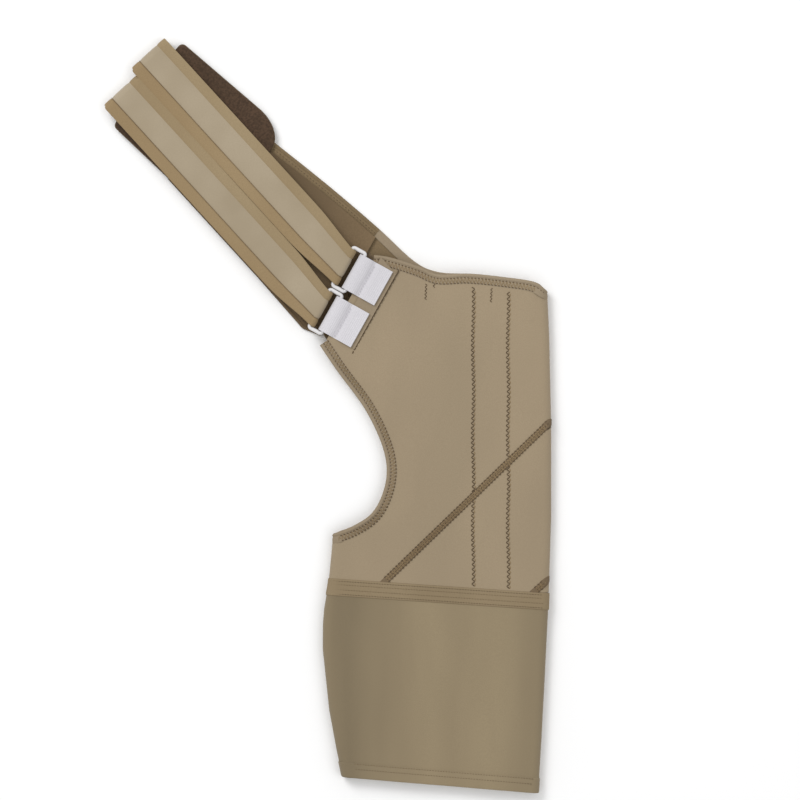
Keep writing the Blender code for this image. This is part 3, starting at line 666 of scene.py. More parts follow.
@dataclass
class Plan:
    """The support's driving sizes and the lines that follow from them."""

    wall: float = 0.0030
    shell: float = 0.0120
    slope: float = -0.068
    cuff_slope: float = -0.083
    join_y: float = -0.1280
    join_band: float = 0.0135
    sleeve_length: float = 0.1290
    cuff_band: float = 0.0120
    edge: float = 0.0070
    edge_width: float = 0.0084
    patch: float = 0.0006
    rod: float = 0.0015
    ring_reach: float = 0.0110
    seam: float = 0.0060
    upper_seam_y: float = -0.0065
    lower_seam_y: float = -0.1285
    lower_seam_rise: float = 0.85
    seam_foot_x: float = 0.0443
    setback: float = 0.0060
    underarm: float = -0.0950
    open_side: float = -0.0600

    def __post_init__(self) -> None:
        """Works out the folds, the rings' line and the edges from the frame and the sizes."""
        self.fold_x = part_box("diagonal_panel")[1].x
        self.bar_heading = heading(math.degrees(math.atan2(*reversed(frame["joints"][0]["axis"][:2]))))
        self.out_heading = np.array([-self.bar_heading[1], self.bar_heading[0]])
        self.bars = {"upper": joint_place("upper_ring_pivot"), "lower": joint_place("lower_ring_pivot")}
        self.mid = self.shell / 2
        self.turn_x = self.fold_x - 0.0015
        self.armhole = curve(
            [
                (-0.0230, 0.0795), (-0.0130, 0.0642), (0.0070, 0.0343), (0.0296, 0.0031),
                (0.0437, -0.0281), (0.0456, -0.0520), (0.0367, -0.0749), (0.0207, -0.0872),
                (0.0000, -0.0945), (-0.0160, -0.0985),
            ]
        )
        corner = [
            (self.fold_x + 0.0200, 0.0830), (self.fold_x - 0.0020, 0.0960),
            (self.fold_x - 0.0130, 0.1030), (self.fold_x - 0.0348, 0.1066),
            (self.fold_x - 0.0648, 0.1096),
        ]
        front = [(0.0867, 0.1090), (0.0718, 0.1150), (0.0480, 0.1225), (0.0280, 0.1250)]
        self.front_neck = curve([*corner, *front])
        self.back_neck = curve(
            [
                *corner, (0.0862, 0.1112), (0.0675, 0.1197), (0.0394, 0.1455), (0.0020, 0.1775),
                (-0.0435, 0.2139), (-0.0760, 0.2385),
            ]
        )
        end = self.bars["upper"][:2] + 0.0173 * self.bar_heading
        climb = self.upper_seam_y - self.join(self.seam_foot_x)
        self.front_rise = climb / (self.turn_x - self.seam_foot_x)
        self.back_rise = (end[1] - self.upper_seam_y) / (self.turn_x - end[0])

    def join(self, x: Array) -> Array:
        """The y of the seam between the cap and the join band at this x."""
        return self.join_y + self.slope * x

    def out(self, points: Array) -> Array:
        """How far plan points lie beyond the rings' line, towards the straps."""
        return (points - self.bars["upper"][:2]) @ self.out_heading

    def seam_y(self, x: Array, level: float, rise: float, above: float) -> Array:
        """A diagonal seam at x: level past the turn, and falling by its rise to the left of it.

        Args:
            x: where the seam is read.
            level: its y past the turn.
            rise: its fall for each metre to the left; below zero it climbs.
            above: how far above the seam, measured square to it.

        Returns:
            The y there.
        """
        lift = above * np.where(x < self.turn_x, math.hypot(1, rise), 1.0)
        return level + lift + rise * np.minimum(x - self.turn_x, 0)

    def left(self, y: Array) -> Array:
        """The x of the left fold, which runs from the cuff up to the underarm."""
        return np.interp(y, *np.transpose(LEFT_FOLD))

    def right(self, y: Array) -> Array:
        """The x of the right fold at each y."""
        return self.fold_x - np.interp(y, *np.transpose(RIGHT_INSET))

    def rounding(self, x: Array, y: Array) -> Array:
        """The half thickness of the shell, which falls on a quarter circle at each fold.

        Args:
            x: the places' x.
            y: the places' y.

        Returns:
            How far each face lies from the middle height.
        """
        inside = np.minimum(x - self.left(y), self.right(y) - x)
        short = np.clip(self.mid - inside, 0, self.mid)
        return np.sqrt(np.maximum(self.mid**2 - short**2, 0))

    def swell(self, x: Array, y: Array) -> Array:
        """Soft hollows and swells of the front layer.

        Three long sine waves run over it, and on the sleeve a bell-shaped crease lies by each side.

        Args:
            x: the places' x.
            y: the places' y.

        Returns:
            The height that they add.
        """
        waves = 0.00035 * np.sin(x * 62 + 9 * y + 0.6) + 0.00030 * np.sin(y * 47 - 21 * x)
        waves = waves + 0.00022 * np.sin(x * 118 - 16 * y + 1.9)
        sleeve = smoothstep(-y, 0.138, 0.165)
        crease = np.exp(-(((x - 0.020 - 0.03 * (y + 0.2)) / 0.0065) ** 2))
        shoulder = np.exp(-(((x - 0.148) / 0.011) ** 2))
        return waves - sleeve * (0.0011 * crease + 0.0006 * shoulder)

    def sink(self, x: Array, y: Array) -> Array:
        """How far the front layer settles towards the armhole's edge: most at 2 mm, none from 26 mm in.

        Args:
            x: the places' x.
            y: the places' y.

        Returns:
            The height that it loses.
        """
        points = np.stack([np.ravel(x), np.ravel(y)], axis=1)
        apart = np.linalg.norm(points[:, None] - self.armhole[None, ::2], axis=-1).min(axis=1)
        apart = apart.reshape(np.shape(x))
        along = smoothstep(y, -0.092, -0.070) * (1 - smoothstep(y, 0.010, 0.045))
        return 0.0030 * along * (1 - smoothstep(apart, 0.002, 0.026))

    def front(self, x: Array, y: Array) -> Array:
        """The height of the front layer's outer face, whose swells fade out at the folds.

        Args:
            x: the places' x.
            y: the places' y.

        Returns:
            The height there.
        """
        half = self.rounding(x, y)
        shown = smoothstep(half, 0.7 * self.mid, self.mid)
        return self.mid + half + (self.swell(x, y) - self.sink(x, y)) * shown

    def back(self, x: Array, y: Array) -> Array:
        """The height of the back layer's outer face, which lies on the table."""
        return self.mid - self.rounding(x, y)

    def around(self, front: Array, back: Array, fold: Fold, hand: float) -> tuple[Array, Array, Array]:
        """A line in the middle of the wall: along the front, round a fold and along the back.

        The turn is half a circle in x and z. On the open side above the underarm there is no fold,
        so the fold's place is put out of reach there.

        Args:
            front: the plan line on the front, ending past the fold.
            back: the plan line on the back, ending past the fold.
            fold: which fold it turns round.
            hand: 1 if the cloth is to the left of the front line, -1 if it is to the right.

        Returns:
            The line's points, the directions into the cloth and the outward normals.
        """
        side = fold.value
        edge = self.right if fold is Fold.RIGHT else self.left
        out_of_reach, spacing = -1.0, 0.0016
        runs, normals = [], []
        for line, face in ((front, 1), (back, -1)):
            level = line[:, 1] if side > 0 else np.minimum(line[:, 1], self.underarm)
            centre_x = edge(level) - side * self.mid
            if side < 0:
                centre_x = np.where(line[:, 1] > self.open_side, out_of_reach, centre_x)
            head, tail = cut_where(line, side * (line[:, 0] - centre_x))
            length = run_of(head)[-1]
            head = at_runs(head, np.linspace(0, length, max(int(length / spacing), 3)))
            if face > 0:
                height = self.front(*head.T) - self.wall / 2
            else:
                height = self.back(*head.T) + self.wall / 2
            runs.append((head, np.column_stack([head, height]), tail))
            normals.append(np.tile([0.0, 0.0, face], (len(head), 1)))
        head, points, tail = runs[0]
        angle = np.linspace(0, math.pi, 13)[1:-1]
        reach = np.sin(angle)
        order = np.argsort(side * tail[:, 0])
        far_x = head[-1, 0] + side * self.mid * reach
        y = side * np.interp(side * far_x, side * tail[order, 0], side * tail[order, 1])
        x = head[-1, 0] + side * (self.mid - self.wall / 2) * reach
        arc = np.column_stack([x, y, self.mid + (self.mid - self.wall / 2) * np.cos(angle)])
        turned = np.column_stack([side * np.sin(angle), 0 * angle, np.cos(angle)])
        centre = np.vstack([points, arc, runs[1][1][::-1]])
        normal = np.vstack([normals[0], turned, normals[1]])
        into = hand * unit(np.cross(normal, np.gradient(centre, axis=0)))
        return centre, into, normal


PLAN = Plan()


# ---------------------------------------------------------------- stitching


class Stitch(Enum):
    """The kinds of stitching on the support."""

    LOCK = "one row of dashes"
    ZIGZAG = "one thread from side to side"
    COVER = "two needle rows with a looper thread between them"
    FLAT = "three needle rows over a close looper thread"


DASH = 0.68  # a dash over its pitch
COVER_STEP = 0.50  # the looper's pitch over the needles', in a cover stitch
FLAT_STEP = 0.36  # the same in a flat stitch


@dataclass
class Thread:
    """A run of stitching along a plan line, on top of a face."""

    name: str
    kind: Stitch
    pitch: float
    width: float = 0.0
    radius: float = 0.00028
    finish: Finish = DARK_THREAD
    looper: Finish | None = None

    def row(self, length: float, side: float) -> Array:
        """Dashes with a gap of about a third of the pitch.

        Args:
            length: the seam's length.
            side: how far to its left they lie.

        Returns:
            For each dash its start run, start side, end run and end side.
        """
        start = np.arange(0, length - self.pitch, self.pitch)
        sides = np.full_like(start, side)
        return np.column_stack([start, sides, start + DASH * self.pitch, sides])

    def zigzag(self, length: float, pitch: float) -> Array:
        """Threads that cross from side to side.

        Args:
            length: the seam's length.
            pitch: the run that one thread covers.

        Returns:
            For each thread its start run, start side, end run and end side.
        """
        start = np.arange(0, length - pitch, pitch)
        side = self.width / 2 * np.where(np.arange(len(start)) % 2, 1.0, -1.0)
        return np.column_stack([start, side, start + pitch, -side])

    def rows(self, length: float) -> list[Array]:
        """All the threads of a seam.

        Args:
            length: the seam's length.

        Returns:
            The needle threads and then, on a cover or flat stitch, the looper threads.
        """
        half = self.width / 2
        if self.kind is Stitch.LOCK:
            return [self.row(length, 0.0)]
        if self.kind is Stitch.ZIGZAG:
            return [self.zigzag(length, self.pitch)]
        if self.kind is Stitch.COVER:
            sides, step = (half, -half), COVER_STEP
        else:
            sides, step = (half, 0.0, -half), FLAT_STEP
        needles = np.vstack([self.row(length, side) for side in sides])
        return [needles, self.zigzag(length, self.pitch * step)]

    def along(self, line: Array, height: Height, lift: float = 0.0) -> list[Piece]:
        """Sews along a plan line.

        Args:
            line: the plan line, one point a row.
            height: a function that gives the face's height at x and y.
            lift: how far above the face the threads lie.

        Returns:
            The pieces, one for the needle threads and one for the looper thread.
        """
        runs = run_of(line)
        step = unit(np.gradient(line, axis=0))
        normal = np.stack([-step[:, 1], step[:, 0]], axis=1)
        made = []
        finishes = (self.finish, self.looper or self.finish)
        for i, segments in enumerate(self.rows(runs[-1])):
            ends = []
            for run, side in (segments[:, 0:2].T, segments[:, 2:4].T):
                x, y = (
                    np.interp(run, runs, line[:, k]) + side * np.interp(run, runs, normal[:, k])
                    for k in (0, 1)
                )
                ends.append(np.column_stack([x, y, height(x, y) + lift]))
            name = self.name + ("_looper" if i else "")
            radius = self.radius * (0.8 if i else 1.0)
            made.append(self.threads(name, ends[0], ends[1], finishes[i], radius))
        return made

    @staticmethod
    def threads(name: str, start: Array, end: Array, finish: Finish, radius: float) -> Piece:
        """A short fat thread from each start to its end.

        A section is a circle of five points whose radius follows the square root of t(1 - t),
        so that each thread sinks into the cloth at both ends.

        Args:
            name: the piece's name.
            start: where each thread comes up.
            end: where each thread goes down.
            finish: the thread's finish.
            radius: the thread's radius at its middle.

        Returns:
            One piece with all the threads.
        """
        t = np.array([0.0, 0.12, 0.5, 0.88, 1.0])
        size = radius * np.array([0.35, 0.8, 1.0, 0.8, 0.35])
        sides = stations = len(t)
        angle = np.arange(sides) * 2 * math.pi / sides
        along = unit(end - start)
        across = unit(np.cross(along, [0.0, 0.0, 1.0]))
        up = np.cross(across, along)
        centre = start[:, None] + t[None, :, None] * (end - start)[:, None]
        centre[..., 2] += radius * (1.2 * np.sin(math.pi * t) - 0.5)
        ring = np.cos(angle)[None, None, :, None] * across[:, None, None]
        ring = ring + np.sin(angle)[None, None, :, None] * up[:, None, None]
        points = centre[:, :, None] + size[None, :, None, None] * ring
        index = np.arange(len(start) * stations * sides).reshape(len(start), stations, sides)
        loop = np.concatenate([index, index[..., :1]], axis=2)
        quads = np.stack([loop[:, :-1, :-1], loop[:, :-1, 1:], loop[:, 1:, 1:], loop[:, 1:, :-1]], axis=-1)
        surface = Surface()
        surface.points = [points.reshape(-1, 3)]
        surface.faces = [*quads.reshape(-1, 4).tolist(), *index[:, 0].tolist(), *index[:, -1].tolist()]
        return surface.made(name, finish, 180.0)


def flat_at(level: float) -> Height:
    """The height of a level face."""
    return lambda x, y: np.full_like(x, level)


def ride_all(pieces: list[Piece], body: str) -> None:
    """Sets pieces on a body.

    Args:
        pieces: the pieces.
        body: the body that carries them.
    """
    for piece in pieces:
        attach(piece, body)


# ---------------------------------------------------------------- the cap


def turned_edge() -> Array:
    """The section of a turned edge: a plump roll outside, a groove at the stitching, a thin lip inside.

    Returns:
        The closed ring of (distance into the cloth, height) points.
    """
    half = PLAN.wall / 2
    lip, root = 0.0004, 0.0072
    top = [
        (0.0000, 0.0), (0.0002, 0.0009), (0.0008, 0.0016), (0.0015, 0.0020), (0.0022, 0.0019),
        (0.0028, 0.0015), (0.0036, 0.0019), (0.0054, 0.0020), (root, 0.0019), (0.0080, 0.0017),
        (PLAN.edge_width, half),
    ]
    under = [
        (PLAN.edge_width, half - lip), (root, half - lip), (root, -half), (0.0012, -half),
        (0.0003, -0.0009),
    ]
    return np.array(top + under)


@dataclass
class Cap:
    """The shoulder cap: three panels that wrap round the fold, their seams and their two edges."""

    seam_lift: float = 0.0004
    mesh_spacing: float = 0.0019
    edge_spacing: float = 0.0018
    same_place: float = 0.0002
    edge_setback: float = 0.0035
    highest_roll: float = 0.0015
    stay_rows: tuple[float, ...] = (0.1135, 0.1408)
    tacks: tuple[tuple[float, float, float], ...] = (
        (0.0765, 0.0890, 0.0135), (0.0830, 0.0985, 0.0050), (0.1275, 0.0870, 0.0120),
    )

    def build(self) -> None:
        """Builds and dresses the panels, the seams, the edges and their stitching."""
        self.build_panels()
        self.build_seams()
        self.build_edges()
        self.sew_columns()

    @staticmethod
    def side(neck: Array, setback: float) -> tuple[Array, Array]:
        """The cap's left side and its neck, inside the turned edges.

        Args:
            neck: the neck's edge on this layer.
            setback: how far short of the rings' line the layer stops.

        Returns:
            The left side from the join to the neck, and the neck's line on to the fold.
        """
        armhole = moved_left(PLAN.armhole, PLAN.edge)
        armhole = cut_where(armhole, PLAN.out(armhole) + setback)[1]
        armhole = cut_where(armhole, armhole[:, 0] - PLAN.left(armhole[:, 1]))[0]
        neck = moved_left(neck, PLAN.edge)
        neck = cut_where(neck, PLAN.out(neck) + setback)[0][::-1]
        y = np.linspace(PLAN.join(PLAN.left(PLAN.join_y)), armhole[-1, 1], 12)[:-1]
        fold = np.column_stack([PLAN.left(y), y])
        neck = cut_where(neck, neck[:, 0] - (PLAN.right(neck[:, 1]) - PLAN.mid))[0]
        return np.vstack([fold, armhole[::-1], neck[:1]]), neck

    def across(self, start: float, low: Seam, high: Seam | None = None) -> Array:
        """A line of points to the fold's turn, along the larger y of one or two seams.

        Args:
            start: the x where it starts.
            low: a seam.
            high: a second seam.

        Returns:
            The line.
        """
        x = np.linspace(start, self.fold_x(low), 160)
        y = low(x) if high is None else np.maximum(low(x), high(x))
        return np.column_stack([x, y])

    @staticmethod
    def fold_x(seam: Seam) -> float:
        """The x where a seam meets the start of the fold's turn."""
        return float(PLAN.right(seam(PLAN.turn_x)) - PLAN.mid)

    @staticmethod
    def unrolled(back: Array) -> Array:
        """Lines on the back in the cut's plane: beyond the fold's half turn, with x the other way."""
        centre = PLAN.right(back[:, 1]) - PLAN.mid
        return np.column_stack([2 * centre + math.pi * PLAN.mid - back[:, 0], back[:, 1]])

    @staticmethod
    def place(cut: Array) -> Array:
        """The outer face for points of the cut: the front, a half turn round the fold, and the back.

        On the turn x is the fold's centre plus the radius times the sine, and z the radius times
        the cosine, both from the middle of the shell.

        Args:
            cut: the points of the cut.

        Returns:
            The points in space.
        """
        s, y = cut.T
        centre = PLAN.right(y) - PLAN.mid
        angle = np.clip((s - centre) / PLAN.mid, 0, math.pi)
        back_x = 2 * centre + math.pi * PLAN.mid - s
        swell = PLAN.front(centre, y) - PLAN.shell
        arc = PLAN.mid + PLAN.mid * np.cos(angle) + swell * np.maximum(np.cos(angle), 0)
        x = np.where(s <= centre, s, np.where(angle < math.pi, centre + PLAN.mid * np.sin(angle), back_x))
        z = np.where(s <= centre, PLAN.front(s, y), np.where(angle < math.pi, arc, PLAN.back(back_x, y)))
        return np.column_stack([x, y, z])

    def outline(self, low: tuple, high: tuple, left: tuple) -> Array:
        """The closed outline of a panel's cut.

        Args:
            low: the lower sides on the front and on the back, from left to right.
            high: the upper sides, likewise.
            left: the left sides, from the bottom up.

        Returns:
            The outline, anticlockwise and evenly spaced.
        """
        share = np.linspace(0, 1, 9)[1:-1, None]
        turns = []
        for front, back in (low, high):
            start, stop = front[-1:], self.unrolled(back[-1:])
            turns.append(start + share * (stop - start))
        parts = [
            low[0], turns[0], self.unrolled(low[1][::-1]), self.unrolled(left[1]),
            self.unrolled(high[1]), turns[1][::-1], high[0][::-1], left[0][::-1],
        ]
        line = np.vstack(parts)
        keep = np.append(True, np.linalg.norm(np.diff(line, axis=0), axis=1) > self.same_place)
        line = line[keep]
        if np.linalg.norm(line[0] - line[-1]) < self.same_place:
            line = line[:-1]
        sides = []
        for start, stop in zip(line, np.roll(line, -1, axis=0)):
            count = max(int(np.linalg.norm(stop - start) / self.edge_spacing), 1)
            sides.append(start + np.linspace(0, 1, count, endpoint=False)[:, None] * (stop - start))
        return np.vstack(sides)

    @staticmethod
    def banks(level: float, rise: float) -> list[Seam]:
        """The two edges of a diagonal seam, which the panels reach under its cover.

        Args:
            level: the seam's y past the fold's turn.
            rise: its fall for each metre to the left.

        Returns:
            The upper edge and the lower edge.
        """
        half = PLAN.seam / 2 - 0.0008

        def edge(above: float) -> Seam:
            """One edge, this far above the seam's middle."""
            return lambda x: PLAN.seam_y(x, level, rise, above)

        return [edge(half), edge(-half)]

    def build_panels(self) -> None:
        """Builds and dresses the upper panel, the diagonal panel and the lower gusset."""
        up_front = self.banks(PLAN.upper_seam_y, PLAN.front_rise)
        up_back = self.banks(PLAN.upper_seam_y, -PLAN.back_rise)
        low_front = self.banks(PLAN.lower_seam_y, PLAN.lower_seam_rise)
        low_back = self.banks(PLAN.lower_seam_y, -PLAN.back_rise)
        front_side, front_neck = self.side(PLAN.front_neck, PLAN.setback)
        side, back_neck = self.side(PLAN.back_neck, 0.0)
        left_x = front_side[0, 0]
        upper = self.outline(
            (self.across(left_x, up_front[0], PLAN.join), self.from_side(side, up_back[0])),
            (front_neck, back_neck),
            (front_side, self.between(side, up_back[0], None)),
        )
        foot, past = self.foot(up_front[1])
        middle = self.outline(
            (self.across(past, low_front[0], PLAN.join), self.from_side(side, low_back[0])),
            (self.across(foot[0, 0], up_front[1]), self.from_side(side, up_back[1])),
            (foot, self.between(side, low_back[0], up_back[1])),
        )
        foot, past = self.foot(low_front[1])
        lower = self.outline(
            (self.across(past, PLAN.join), self.across(left_x, PLAN.join)),
            (self.across(foot[0, 0], low_front[1]), self.from_side(side, low_back[1])),
            (foot, self.between(side, None, low_back[1])),
        )
        self.panel("upper_panel", upper)
        self.panel("diagonal_panel", middle)
        self.panel("lower_gusset", lower)

    @staticmethod
    def between(side: Array, low: Seam | None, high: Seam | None) -> Array:
        """The part of the left side that lies between two seams.

        Args:
            side: the left side, from the bottom up.
            low: the seam below, if there is one.
            high: the seam above, if there is one.

        Returns:
            That part of the side.
        """
        if low is not None:
            side = cut_where(side, side[:, 1] - low(side[:, 0]))[1]
        return side if high is None else cut_where(side, side[:, 1] - high(side[:, 0]))[0]

    @staticmethod
    def foot(seam: Seam) -> tuple[Array, float]:
        """The place where a seam climbs out of the join.

        Args:
            seam: the seam.

        Returns:
            The point, as one row, and an x just past it.
        """
        x = np.linspace(0, PLAN.turn_x + 0.002, 2000)
        start = float(x[np.flatnonzero(seam(x) > PLAN.join(x))[0]])
        return np.array([[start, PLAN.join(start)]]), start + 0.0004

    def from_side(self, side: Array, seam: Seam) -> Array:
        """A seam on the back from the cap's left side to the fold.

        Args:
            side: the left side, from the bottom up.
            seam: the seam.

        Returns:
            The line.
        """
        start = cut_where(side, side[:, 1] - seam(side[:, 0]))[0][-1]
        return self.across(float(start[0]), seam)

    def panel(self, node: str, outline: Array) -> None:
        """Makes and dresses one panel of cloth, with the lining on its inner face.

        Args:
            node: the CAD node that it stands for.
            outline: the outline of its cut.
        """
        surface = Surface()
        area = surface.filled(outline, self.mesh_spacing, self.place, PLAN.wall)
        piece = surface.made(node + "_cloth", NEOPRENE_CLOTH)
        piece.data.materials.append(LINING_CLOTH.material())
        count = len(surface.points[0])
        faces = np.array([face[0] >= count for face in surface.faces])
        piece.data.polygons.foreach_set("material_index", faces.astype(np.int32))
        ride_all([piece], "root")
        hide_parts(node)

    def build_seams(self) -> None:
        """Builds the two diagonal seams: a raised band with a close flat stitch on the front."""
        under_join, under_edge, clear_of_join, clear_of_fold = 0.0012, 0.0005, 0.0016, 0.0012
        band = rounded_bar(PLAN.seam, PLAN.wall + 2 * self.seam_lift, 0.0012)
        back_side = self.side(PLAN.back_neck, 0.0)[0]
        x = np.linspace(0, PLAN.fold_x + 0.01, 600)
        for node, level, front_rise in (
            ("upper_diagonal_seam", PLAN.upper_seam_y, PLAN.front_rise),
            ("lower_diagonal_seam", PLAN.lower_seam_y, PLAN.lower_seam_rise),
        ):
            front = np.column_stack([x, PLAN.seam_y(x, level, front_rise, 0.0)])
            front = front[front[:, 1] > PLAN.join(x) - under_join]
            back = np.column_stack([x, PLAN.seam_y(x, level, -PLAN.back_rise, 0.0)])
            side_y = PLAN.seam_y(back_side[:, 0], level, -PLAN.back_rise, 0.0)
            start = cut_where(back_side, back_side[:, 1] - side_y)[0][-1, 0]
            centre, into, normal = PLAN.around(front, back[x > start - under_edge], Fold.RIGHT, -1)
            surface = Surface()
            surface.swept(band, centre, into, normal)
            piece = surface.made(node + "_cover", SEAM_COVER)
            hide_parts(node)
            short = front[:, 0] < PLAN.right(front[:, 1]) - clear_of_fold
            above = front[:, 1] > PLAN.join(front[:, 0]) + clear_of_join
            thread = Thread(
                node + "_stitch", Stitch.FLAT, 0.0030, 0.0048, 0.00040, DARK_THREAD, TAN_THREAD
            )
            sewn = thread.along(front[short & above], PLAN.front, self.seam_lift)
            ride_all([piece, *sewn], "root")

    def build_edges(self) -> None:
        """Builds the armhole's and the neck's turned edges and their cover stitch."""
        armhole = cut_where(PLAN.armhole, PLAN.out(PLAN.armhole) + self.edge_setback)[1]
        highest = PLAN.shell + self.highest_roll
        ends = [self.neck_from(PLAN.front_neck, PLAN.setback), self.neck_from(PLAN.back_neck, 0.0)]
        for node, lines, fold, hand in (
            ("armhole_binding", [armhole, armhole], Fold.LEFT, 1),
            ("neck_binding", ends, Fold.RIGHT, -1),
        ):
            centre, into, normal = PLAN.around(*lines, fold, hand)
            surface = Surface()
            surface.swept(turned_edge(), centre, into, normal)
            surface.points[-1][:, 2] = np.minimum(surface.points[-1][:, 2], highest)
            piece = surface.made(node + "_roll", EDGE_CLOTH)
            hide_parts(node)
            line = moved_left(lines[0], 0.0054 * hand)
            line = line[(line[:, 0] > 0.0056) | (PLAN.out(line) > -0.05)]
            line = line[line[:, 0] < PLAN.right(line[:, 1]) - 0.0015]
            thread = Thread(
                node + "_stitch", Stitch.COVER, 0.0027, 0.0040, 0.00034, DARK_THREAD, TAN_THREAD
            )
            ride_all([piece, *thread.along(line, PLAN.front, 0.0004)], "root")

    @staticmethod
    def neck_from(neck: Array, setback: float) -> Array:
        """The neck's line from the rings' line to beyond the fold."""
        return cut_where(neck, PLAN.out(neck) + setback)[0][::-1]

    def sew_columns(self) -> None:
        """Sews the two long rows that hold the stay, and the short tacks at the neck."""
        made = []
        for i, x in enumerate(self.stay_rows):
            y = np.linspace(PLAN.join(x) + 0.0012, self.neck_y(x) - 0.0098, 120)
            line = np.column_stack([x + 0.0004 * np.sin(y * 90), y])
            rows = Thread(f"stay_row_{i + 1}", Stitch.ZIGZAG, 0.0019, 0.0027, 0.00042, DARK_THREAD)
            made += rows.along(line, PLAN.front)
            dots = Thread(f"stay_row_{i + 1}_edge", Stitch.LOCK, 0.0038, 0.0, 0.00040, TAN_THREAD)
            made += dots.along(line + [0.0014, 0.0], PLAN.front)
        for i, (x, y, length) in enumerate(self.tacks):
            line = np.array([[x, y], [x + 0.0006, y + length]])
            tack = Thread(f"neck_tack_{i + 1}", Stitch.ZIGZAG, 0.0014, 0.0018, 0.00034, DARK_THREAD)
            made += tack.along(line, PLAN.front)
        ride_all(made, "root")

    @staticmethod
    def neck_y(x: float) -> float:
        """The y of the front neck edge at this x."""
        line = PLAN.front_neck[::-1]
        return float(np.interp(x, line[:, 0], line[:, 1]))


# ---------------------------------------------------------------- the sleeve


@dataclass
class Sleeve:
    """The arm sleeve with its join band and its cuff band, each one flattened tube."""

    across: int = 110
    turn: int = 11
    band_lift: float = 0.0007
    bevel: float = 0.0009

    def row(self, y: float, slope: float, offset: float) -> Array:
        """One turn of the tube: along the front, round the right fold, back along the under side.

        Args:
            y: the row's height in plan at x = 0.
            slope: its fall for each metre along x.
            offset: how far outside the shell's face it lies.

        Returns:
            The row's points, shaped (points, 3).
        """
        left, right = PLAN.left(y), PLAN.right(y + slope * PLAN.fold_x)
        share = np.linspace(0, 1, self.across)
        x = left + PLAN.mid + share * (right - left - 2 * PLAN.mid)
        plan_y = y + slope * x
        radius = PLAN.mid + offset
        fade = smoothstep(share, 0.0, 0.06) * (1 - smoothstep(share, 0.94, 1.0))
        top = np.column_stack([x, plan_y, PLAN.mid + radius + PLAN.swell(x, plan_y) * fade])
        under = np.column_stack([x, plan_y, np.full_like(x, PLAN.mid - radius)])[::-1]
        angle = np.linspace(0, math.pi, self.turn + 2)[1:-1]
        arcs = []
        for side, end in ((1, top[-1]), (-1, under[-1])):
            arc_x = end[0] + side * radius * np.sin(angle)
            arcs.append(np.column_stack([arc_x, y + slope * arc_x, PLAN.mid + side * radius * np.cos(angle)]))
        return np.vstack([top, arcs[0], under, arcs[1]])

    def tube(
        self, node: str, rows: list[tuple[float, float, float]], finish: Finish
    ) -> Piece:
        """A tube of cloth with an outer and an inner face, closed over both ends.

        Args:
            node: the CAD node that it stands for.
            rows: (y, slope, offset) of each row, from one end to the other.
            finish: its finish.

        Returns:
            The tube.
        """
        outer = np.array([self.row(*row) for row in rows])
        inner = np.array([self.row(y, slope, -PLAN.wall) for y, slope, _ in rows[::-1]])
        surface = Surface()
        surface.grid(np.concatenate([outer, inner]), wrap_rows=True, wrap_columns=True)
        piece = surface.made(node + "_cloth", finish, 60.0)
        ride_all([piece], "root")
        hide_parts(node)
        self.face = np.concatenate([outer, outer[:, :1]], axis=1)
        return piece

    def band(self, high: float, low: float, slope: float) -> list[tuple[float, float, float]]:
        """The rows of a raised band whose two edges are rounded over a quarter of a circle.

        Args:
            high: the upper edge's y at x = 0.
            low: the lower edge's y at x = 0.
            slope: their fall for each metre along x.

        Returns:
            The (y, slope, offset) of each row, from the upper edge to the lower.
        """
        rounding = [
            (self.bevel * (1 - math.cos(a)), self.band_lift - self.bevel * (1 - math.sin(a)))
            for a in np.linspace(0, math.pi / 2, 5)
        ]
        upper = [(high - inset, slope, lift) for inset, lift in rounding]
        lower = [(low + inset, slope, lift) for inset, lift in rounding[::-1]]
        inside = np.linspace(high - 2 * self.bevel, low + 2 * self.bevel, 5)
        return [*upper, *((y, slope, self.band_lift) for y in inside), *lower]

    def build(self) -> None:
        """Builds and dresses the sleeve and its two bands, and sews their rows."""
        join_high, join_low = PLAN.join_y, PLAN.join_y - PLAN.join_band
        cuff_high = join_low - PLAN.sleeve_length
        cuff_low = cuff_high - PLAN.cuff_band
        share = np.linspace(0, 1, 90)
        tuck = 0.0004
        y = (join_low + tuck) + share * (cuff_high - join_low - 2 * tuck)
        slope = PLAN.slope + share * (PLAN.cuff_slope - PLAN.slope)
        sleeve = self.tube("arm_sleeve", list(zip(y, slope, 0 * y)), SLEEVE_CLOTH)
        band = self.band(join_high, join_low, PLAN.slope)
        join = self.tube("join_band", band, BAND_CLOTH)
        band = self.band(cuff_high, cuff_low, PLAN.cuff_slope)
        cuff = self.tube("cuff_band", band, SLEEVE_CLOTH)
        made = []
        rows = ((0.13, DARK_THREAD), (0.33, LINE_THREAD), (0.62, LINE_THREAD), (0.88, DARK_THREAD))
        for i, (down, finish) in enumerate(rows):
            y = join_high - down * PLAN.join_band
            made += self.sew(f"join_row_{i + 1}", y, PLAN.slope, finish)
        for i, down in enumerate((0.0008, 0.0048)):
            made += self.sew(f"cuff_row_{i + 1}", cuff_high - down, PLAN.cuff_slope, LINE_THREAD)
        ride_all(made, "root")

    def sew(self, name: str, y: float, slope: float, finish: Finish) -> list[Piece]:
        """A row of dashes across the front of a band.

        Args:
            name: the row's name.
            y: its y at x = 0.
            slope: its fall for each metre along x.
            finish: the thread's finish.

        Returns:
            The row's pieces.
        """
        short = 0.0035
        right = PLAN.right(y + slope * PLAN.fold_x)
        x = np.linspace(PLAN.left(y) + short, right - short, 60)
        line = np.column_stack([x, y + slope * x])
        thread = Thread(name, Stitch.LOCK, 0.0021, 0.0, 0.00026, finish)
        return thread.along(line, PLAN.front, self.band_lift)


# ---------------------------------------------------------------- the wing and the straps


